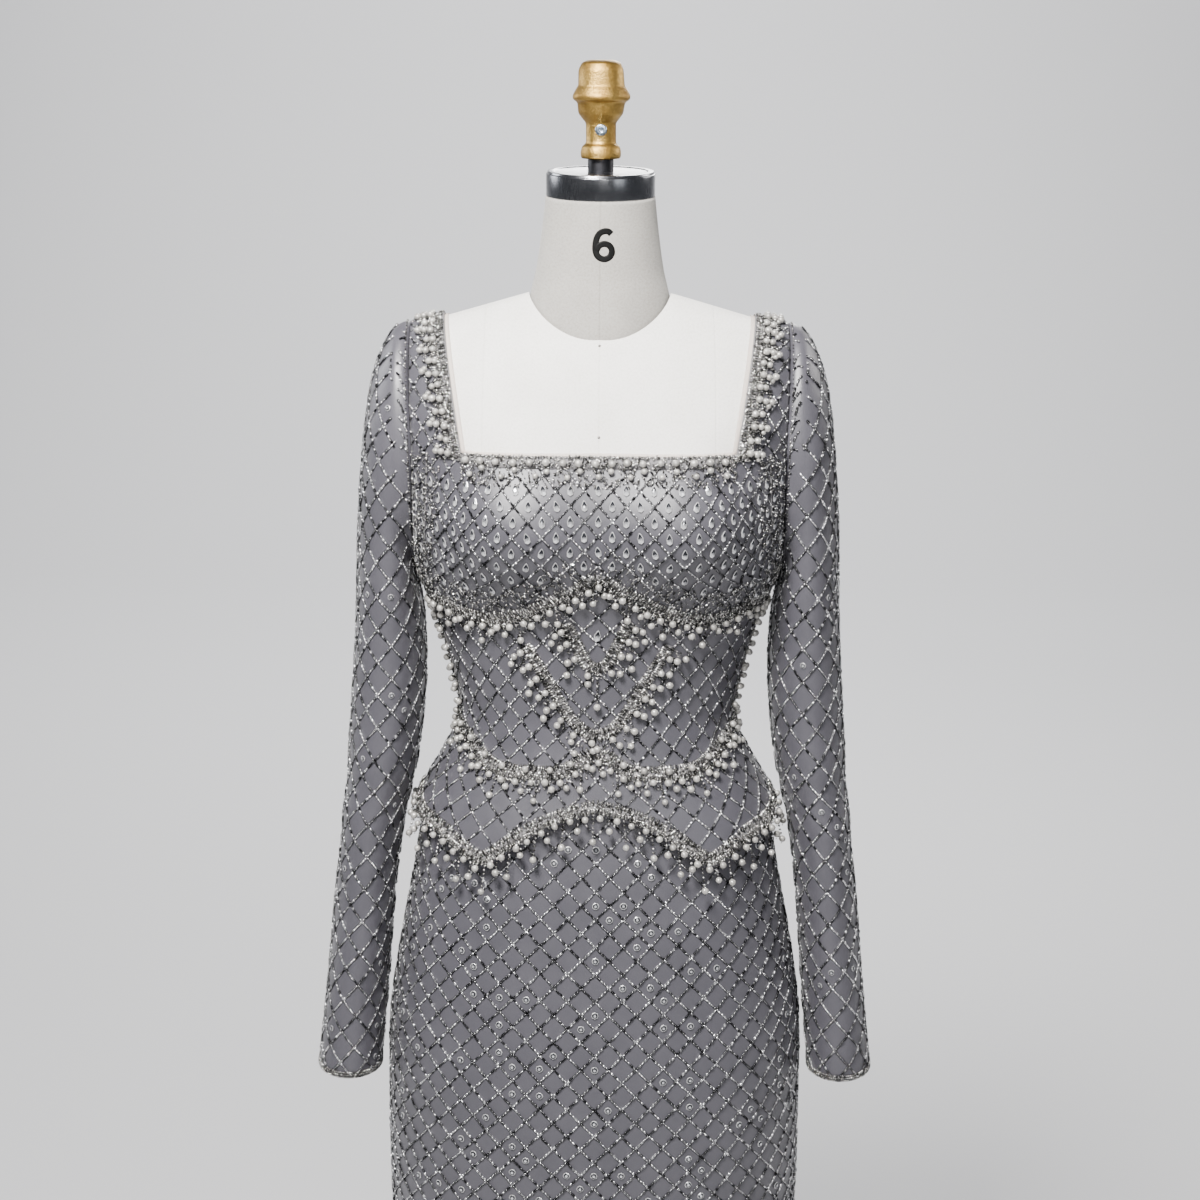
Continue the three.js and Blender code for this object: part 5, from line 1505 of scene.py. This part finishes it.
band("underbust_band", [(BandLine(both_sides(UNDERBUST), bodice_off), -7, 1, underbust_work)],
     ["trim_underbust"])
upper_vee = BandLine(both_sides(UPPER_VEE), bodice_off)
band("upper_vee_band", [(upper_vee, -4, 4, vee_work), (upper_vee, -4, 4, drop_work)], ["trim_vee_upper"])
band("lower_vee_band", [(BandLine(both_sides(LOWER_VEE), bodice_off), -4, 4, vee_work)], ["trim_vee_lower"])
band("waist_band", [(BandLine(both_sides(WAIST_SWAG), bodice_off), -5, 3, waist_work)], ["trim_waist_front"])
front_hem = [(turn, float(peplum_hem(turn)) + 3) for turn in np.linspace(-88.8, 88.8, 75)]
band("peplum_hem_band", [(BandLine(front_hem, bodice_off, by_turn=True), -7, 1, hem_work)],
     ["trim_hem_front"])
for side, word in ((-1, "left"), (1, "right")):
    back_hem = [(side * turn, float(peplum_hem(turn)) + 3) for turn in np.linspace(91.2, 177.8, 38)][::side]
    line = BandLine([(turn % 360, height) for turn, height in back_hem], bodice_off, by_turn=True)
    band(f"peplum_hem_back_{word}_band", [(line, -7, 1, hem_work)], [f"trim_hem_back_{word}"])
    swag = [(side * max(x, 4.0), height) for x, height in WAIST_SWAG[:-1]][::-side]
    line = BandLine(swag, bodice_off, back=True)
    band(f"waist_back_{word}_band", [(line, -5, 3, waist_work)], [f"trim_waist_back_{word}"])
    side_run = [(side * 80, 1146), (side * 79, 1110), (side * 78, 1075), (side * 77, 1046)][::-side]
    line = BandLine(side_run, bodice_off, by_turn=True)
    flank = [(side * 0.84 * float(edge_turn(level)), level) for level in np.linspace(CHEST - 2, 1168, 9)]
    flank_line = BandLine(flank[::side], bodice_off, by_turn=True)
    band(f"side_{word}_band", [(line, -4, 4, side_work), (flank_line, -0.8, 0.8, flank_work)])

# Neckline: a bead-crusted border on net with one row of large pearls, ribs of bugles and pearls up
# the straps, and a narrow nude net edging that is turned inside.
TOP_EDGE = edge_turn(CHEST)


def strap_line(side, column, bottom, back=False):
    """Line up a strap at a column of the bodice, run so that its outer side is across it."""
    away = column * TOP_EDGE
    turn = side * (180 - away if back else away)
    levels = np.linspace(bottom, SHOULDER_TOP - 1, 14)
    rows = [(turn % 360 if back else turn, level) for level in levels]
    return BandLine(rows[::-1] if (side < 0) != back else rows, bodice_off, by_turn=True)


def level_line(first, last, level, back=False):
    """Level line between two columns of the bodice, run towards +X on the front."""
    columns = np.linspace(first, last, 20)
    turns = columns * TOP_EDGE
    rows = [((180 - turn) if back else turn, level) for turn in turns]
    return BandLine(rows[::-1] if back else rows, bodice_off, by_turn=True)


def strap_work(work, line):
    encrust(work, line, -2.5, 11, 0.26)
    encrust(work, line, 11, 21, 0.15)
    for low in (-2.5, 2.5, 7.5):
        ladder(work, line, low, low + 4.5, 2.6)
    pearl_rows(work, line, 24, [8, 15, 21.5], start=7, lead=-1.2)
    pearl_rows(work, line, 24, [7, 13.5], start=18, radius=3.0)
    pearl_rows(work, line, 24, [19], start=1, radius=2.4)


def neckline_work(work, line):
    encrust(work, line, -5, 6, 0.3)
    encrust(work, line, 6, 22, 0.12)
    ladder(work, line, -5.5, -2.5)
    pearl_rows(work, line, 13.6, [1.8], radius=3.4)
    pearl_rows(work, line, 27.2, [13.5], start=10, radius=2.9)
    pearl_rows(work, line, 27.2, [8.5], start=21, radius=2.9)


NECK_BAND_LEVEL = CHEST - 4.0
front_neck = [(level_line(-0.6, 0.6, NECK_BAND_LEVEL), -5, 6, neckline_work)]
for side in (-1, 1):
    front_neck.append((strap_line(side, 0.616, CHEST - 6), -3, 10, strap_work))
band("front_neck_band", front_neck, ["trim_neck_front"])
for side, word in ((-1, "left"), (1, "right")):
    columns = (0.04, 0.6) if side > 0 else (-0.6, -0.04)
    back_level = level_line(*columns, BACK_NECKLINE - 5.0, back=True)
    back_strap = strap_line(side, 0.616, BACK_NECKLINE - 6, back=True)
    band(f"back_neck_{word}_band",
         [(back_level, -5, 6, neckline_work), (back_strap, -3, 10, strap_work)], [f"trim_neck_back_{word}"])

nude_net = Finish("nude_net", (0.80, 0.71, 0.64), 0.7, alpha=0.4)
nude_weave = nude_net.group(weave, Vector=nude_net.place(), Threads=5200.0, Slubs=700.0)
nude_net.bump(nude_weave.outputs["Height"], 0.0002, 0.5)
nude_tone = nude_net.group(mottle, Vector=nude_net.place(), Scale=90.0, Low=0.6, High=0.8)
nude_net.link(nude_tone.outputs["Value"], "Roughness")
edging = []
for line in (level_line(-0.6, 0.6, CHEST), strap_line(-1, 0.6, CHEST), strap_line(1, 0.6, CHEST),
             level_line(-0.6, 0.6, BACK_NECKLINE, True), strap_line(-1, 0.6, BACK_NECKLINE, True),
             strap_line(1, 0.6, BACK_NECKLINE, True)):
    edging.append(closed_tube(tape_strip(line, -4.2, 0.8, above=-1.45, thick=0.35)))
edge_net = new_piece("nude_edging", *joined(edging), nude_net.material, "beaded_cloth")
merge_and_turn_out(edge_net)

# Stones: foiled glass teardrops in silver cups, one in each diamond over the bust, and small round
# ones sewn here and there in the diamonds of the skirt, sleeves and back.
# The stones' dark and bright tones are painted shade and painted highlights, given to each facet by stone_shape.
crystal = bead_finish("foiled_crystal", (0.03, 0.032, 0.038), (0.92, 0.93, 0.96), 0.55, 0.08, 0.16)
stone_cup = bead_finish("stone_cup", (0.12, 0.12, 0.125), (0.90, 0.90, 0.91), 0.5, 0.25, 0.4)
SETTING, CRYSTAL = 0, 1


def stone_shape(outline, painted_from_above):
    """Cup and faceted stone on an outline of points: a sloping cup wall in painted shade, a rim with a
    painted highlight, and a crown whose facets rise to a small flat table. A stone painted from above has
    painted shade on its upper facets and a painted highlight on its lower ones, as the stone's silvered back
    looks under light from above, and another has painted shade on its crown round a painted highlight on its
    table."""
    count = len(outline)
    levels = [(1.08, 0.0), (1.14, 1.0), (1.0, 1.2), (0.42, 2.0)]
    rings = [np.concatenate([outline * scale, np.full((count, 1), height)], 1) for scale, height in levels]
    points = np.concatenate([*rings, [(0, 0, 2.05), (0, 0, 0.0)]])
    quads = grid_faces(len(rings), count, True)
    walls = np.concatenate([quads[:, [0, 1, 2]], quads[:, [0, 2, 3]]])
    wall_ring = np.tile(np.repeat(np.arange(len(rings) - 1), count), 2)
    k = np.arange(count)
    beside, last = (k + 1) % count, (len(rings) - 1) * count
    table = np.stack([last + k, last + beside, np.full(count, len(points) - 2)], -1)
    base = np.stack([beside, k, np.full(count, len(points) - 1)], -1)
    faces = np.concatenate([walls, table, base])
    slots = np.concatenate([np.where(wall_ring == 2, CRYSTAL, SETTING), np.full(count, CRYSTAL),
                            np.full(count, SETTING)])
    middle = points[faces].mean(1)
    height = middle[:, 1] / np.abs(outline[:, 1]).max()
    # Facet tones are painted light: painted shade on the dark facets, a painted highlight on the bright ones.
    facet_painted_light = 0.2 - 1.1 * height if painted_from_above else np.where(np.arange(len(faces)) < len(walls), 0.0, 0.8)
    rim = np.concatenate([wall_ring == 1, np.full(2 * count, False)])
    # A painted highlight on the cup's rim, and painted shade on the rest of the cup.
    tones = np.where(slots == CRYSTAL, facet_painted_light, np.where(rim, 1.0, 0.12))
    return Shape(points, faces, np.full(len(faces), False), slots, tones)


tear_angle = np.arange(8) * 2 * np.pi / 8
TEAR_OUTLINE = np.stack([-2.9 * np.sin(tear_angle) * np.sin(tear_angle / 2) ** 0.8, 4.2 * np.cos(tear_angle)], -1)
ROUND_OUTLINE = 2.7 * np.stack([-np.sin(tear_angle), np.cos(tear_angle)], -1)
TEAR, ROUND = stone_shape(TEAR_OUTLINE, True), stone_shape(ROUND_OUTLINE, False)


def set_stones(work, place, across, level, shape, size=1.0):
    """Stones flat on the cloth, upright, each turned a little by chance."""
    middle, normal = place(across, level, 0.15)
    beside, _ = place(across + 1.0, level, 0.15)
    good = np.isfinite(middle).all(1) & np.isfinite(beside).all(1)
    middle, normal, beside = middle[good], normal[good], beside[good]
    x = unit(beside - middle)
    x = unit(x - normal * (x * normal).sum(1, keepdims=True))
    y = np.cross(normal, x)
    turn = chance.normal(0, 0.12, len(x))[:, None]
    frames = np.stack([x * np.cos(turn) + y * np.sin(turn), y * np.cos(turn) - x * np.sin(turn), normal], 1)
    work.add(shape, middle, frames, np.full((len(middle), 3), size))


def diamond_middles(half_width, low, high, wide, tall):
    """Middles of the lattice's diamonds: the places between the crossings."""
    i = np.arange(-int(half_width / wide * 2) - 1, int(half_width / wide * 2) + 2)
    j = np.arange(int(low / tall * 2) - 1, int(high / tall * 2) + 2)
    i, j = (grid.ravel() for grid in np.meshgrid(i, j, indexing="ij"))
    between = (i + j) % 2 == 1
    return i[between], j[between], i[between] * wide / 2, j[between] * tall / 2


stone_finishes = [stone_cup, crystal]
bust_place, bust_full = bodice_place(BODICE_FRONT_MAP)
i, j, u, v = diamond_middles(330, 1100, CHEST, CELL_WIDE, CELL_TALL)
column = bodice_columns(BODICE_FRONT_MAP, bust_full, u, v)
underbust_height = np.interp(np.abs(u) * 0.62, [x for x, _ in UNDERBUST], [z for _, z in UNDERBUST])
inside = (np.abs(u) < bust_full) & (column < 0.95) & (v < CHEST - 14) & (v > underbust_height + 16)
work = BeadWork()
set_stones(work, bust_place, u[inside], v[inside], TEAR)
set_stones(work, bust_place, np.array([0.0]), np.array([1134.0]), TEAR, 1.1)
work.make("bust_teardrops", stone_finishes, "bead_trim")

for name, chart, back in (("front", SKIRT_FRONT_MAP, False), ("back", SKIRT_BACK_MAP, True)):
    i, j, u, v = diamond_middles(420, HEM, SKIRT_LATTICE_TOP, CELL_WIDE, CELL_TALL)
    picked = np.where(i == 0, j % 4 == 1, chance.random(len(i)) < 0.17)
    inside = picked & (np.abs(u) < chart.half_width(v) - 12) & (v > HEM + 12) & (np.abs(u) >= (12 if back else 0))
    inside &= v < peplum_hem(chart.turn(u, v)) - 12
    work = BeadWork()
    set_stones(work, chart.place, u[inside], v[inside], ROUND)
    work.make(f"skirt_{name}_stones", stone_finishes, "bead_trim")

back_place, back_full = bodice_place(BODICE_BACK_MAP)
i, j, u, v = diamond_middles(330, 960, CHEST, CELL_WIDE, CELL_TALL)
column = bodice_columns(BODICE_BACK_MAP, back_full, u, v)
inside = (np.abs(u) < back_full) & (np.abs(u) > 10) & (column < 0.95) & (v > 1060) & (v < BACK_NECKLINE - 16)
inside &= chance.random(len(u)) < 0.4
work = BeadWork()
set_stones(work, back_place, u[inside], v[inside], ROUND)
work.make("back_stones", stone_finishes, "bead_trim")

work = BeadWork()
for side in (-1, 1):
    i, j, u, v = diamond_middles(170, 715, 1380, SLEEVE_CELL_WIDE, SLEEVE_CELL_TALL)
    inside = chance.random(len(u)) < 0.1
    set_stones(work, sleeve_maps[side].place, u[inside], v[inside], ROUND, 0.85)
work.make("sleeve_stones", stone_finishes, "bead_trim")

# Edges: one row of seed beads over each armhole seam, along each cuff and round the skirt's hem.
work = BeadWork()
for side in (-1, 1):
    rounds = np.arange(0, 360, 2.0)
    rounds = rounds[np.abs(rounds - 180) > 40]
    add_seeds(work, sleeve_point(side, rounds, np.full(len(rounds), 2.0), 0.8), 1.0)
    for row in range(3):
        rounds = np.arange(row, 360, 3.6)
        add_seeds(work, sleeve_point(side, rounds, np.full(len(rounds), CUFF - 1.2 - 2.2 * row), 0.9), 1.25)
for low_turn, high_turn in ((-89.5, 89.5), (90.5, 269.5)):
    turns = np.linspace(low_turn, high_turn, 300)
    add_seeds(work, cloth_point(turns, HEM + 2.0, SNUG + CLOTH_WALL + 0.8)[0], 1.0)
work.make("edge_seeds", [silver_seed, pearl_gloss], "bead_trim")

# Zip: a grey tape with a moulded coil closes the centre back. Its slider and pull are zinc.
tape_grey = Finish("zip_tape_grey", (0.20, 0.20, 0.22), 0.8)
tape_weave = tape_grey.group(weave, Vector=tape_grey.place(), Threads=5200.0, Slubs=600.0)
tape_grey.bump(tape_weave.outputs["Height"], 0.0002, 0.5)
tape_tone = tape_grey.group(mottle, Vector=tape_grey.place(), Scale=80.0, Low=0.7, High=0.9)
tape_grey.link(tape_tone.outputs["Value"], "Roughness")
coil_finish = bead_finish("zip_coil", (0.22, 0.22, 0.24), (0.34, 0.34, 0.37), 0.0, 0.35, 0.5)
zip_levels = np.linspace(float(peplum_hem(180)), BACK_NECKLINE, 60)
zip_line = BandLine([(180.0, level) for level in zip_levels], bodice_off, by_turn=True)
tube_piece("zip_tape", tape_strip(zip_line, -1.45, 1.45, above=-1.4, thick=1.3), tape_grey.material, "zip_tape",
           replaces=["zip"])
work = BeadWork()
for first, last, lead in ((-1.3, 0.35, 0.0), (-0.35, 1.3, 0.8)):
    along = np.arange(2 + lead, zip_line.length - 2, 1.6)
    start, _ = zip_line.spot(along, first, 0.25)
    end, normal = zip_line.spot(along, last, 0.25)
    sizes = np.stack([np.full(len(along), 0.5)] * 2 + [np.linalg.norm(end - start, axis=1)], -1)
    work.add(PRISM, (start + end) / 2, frames_along(end - start, normal, 0 * along), sizes)
work.make("zip_coil", [coil_finish], "zip_tape")
zip_zinc = metal_finish("zip_zinc", (0.62, 0.63, 0.65), (0.45, 0.46, 0.48), 0.2, 0.38, 900.0, (1, 1, 1), 0.00004)
for name in ("zip_slider", "zip_pull"):
    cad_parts[name].data.materials.clear()
    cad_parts[name].data.materials.append(zip_zinc)

# Record of both boxes, in metres: the CAD model's and the dressed model's.
dressed_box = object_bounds()
sizes = {"cad": [list(corner) for corner in cad_box], "dressed": [list(corner) for corner in dressed_box]}
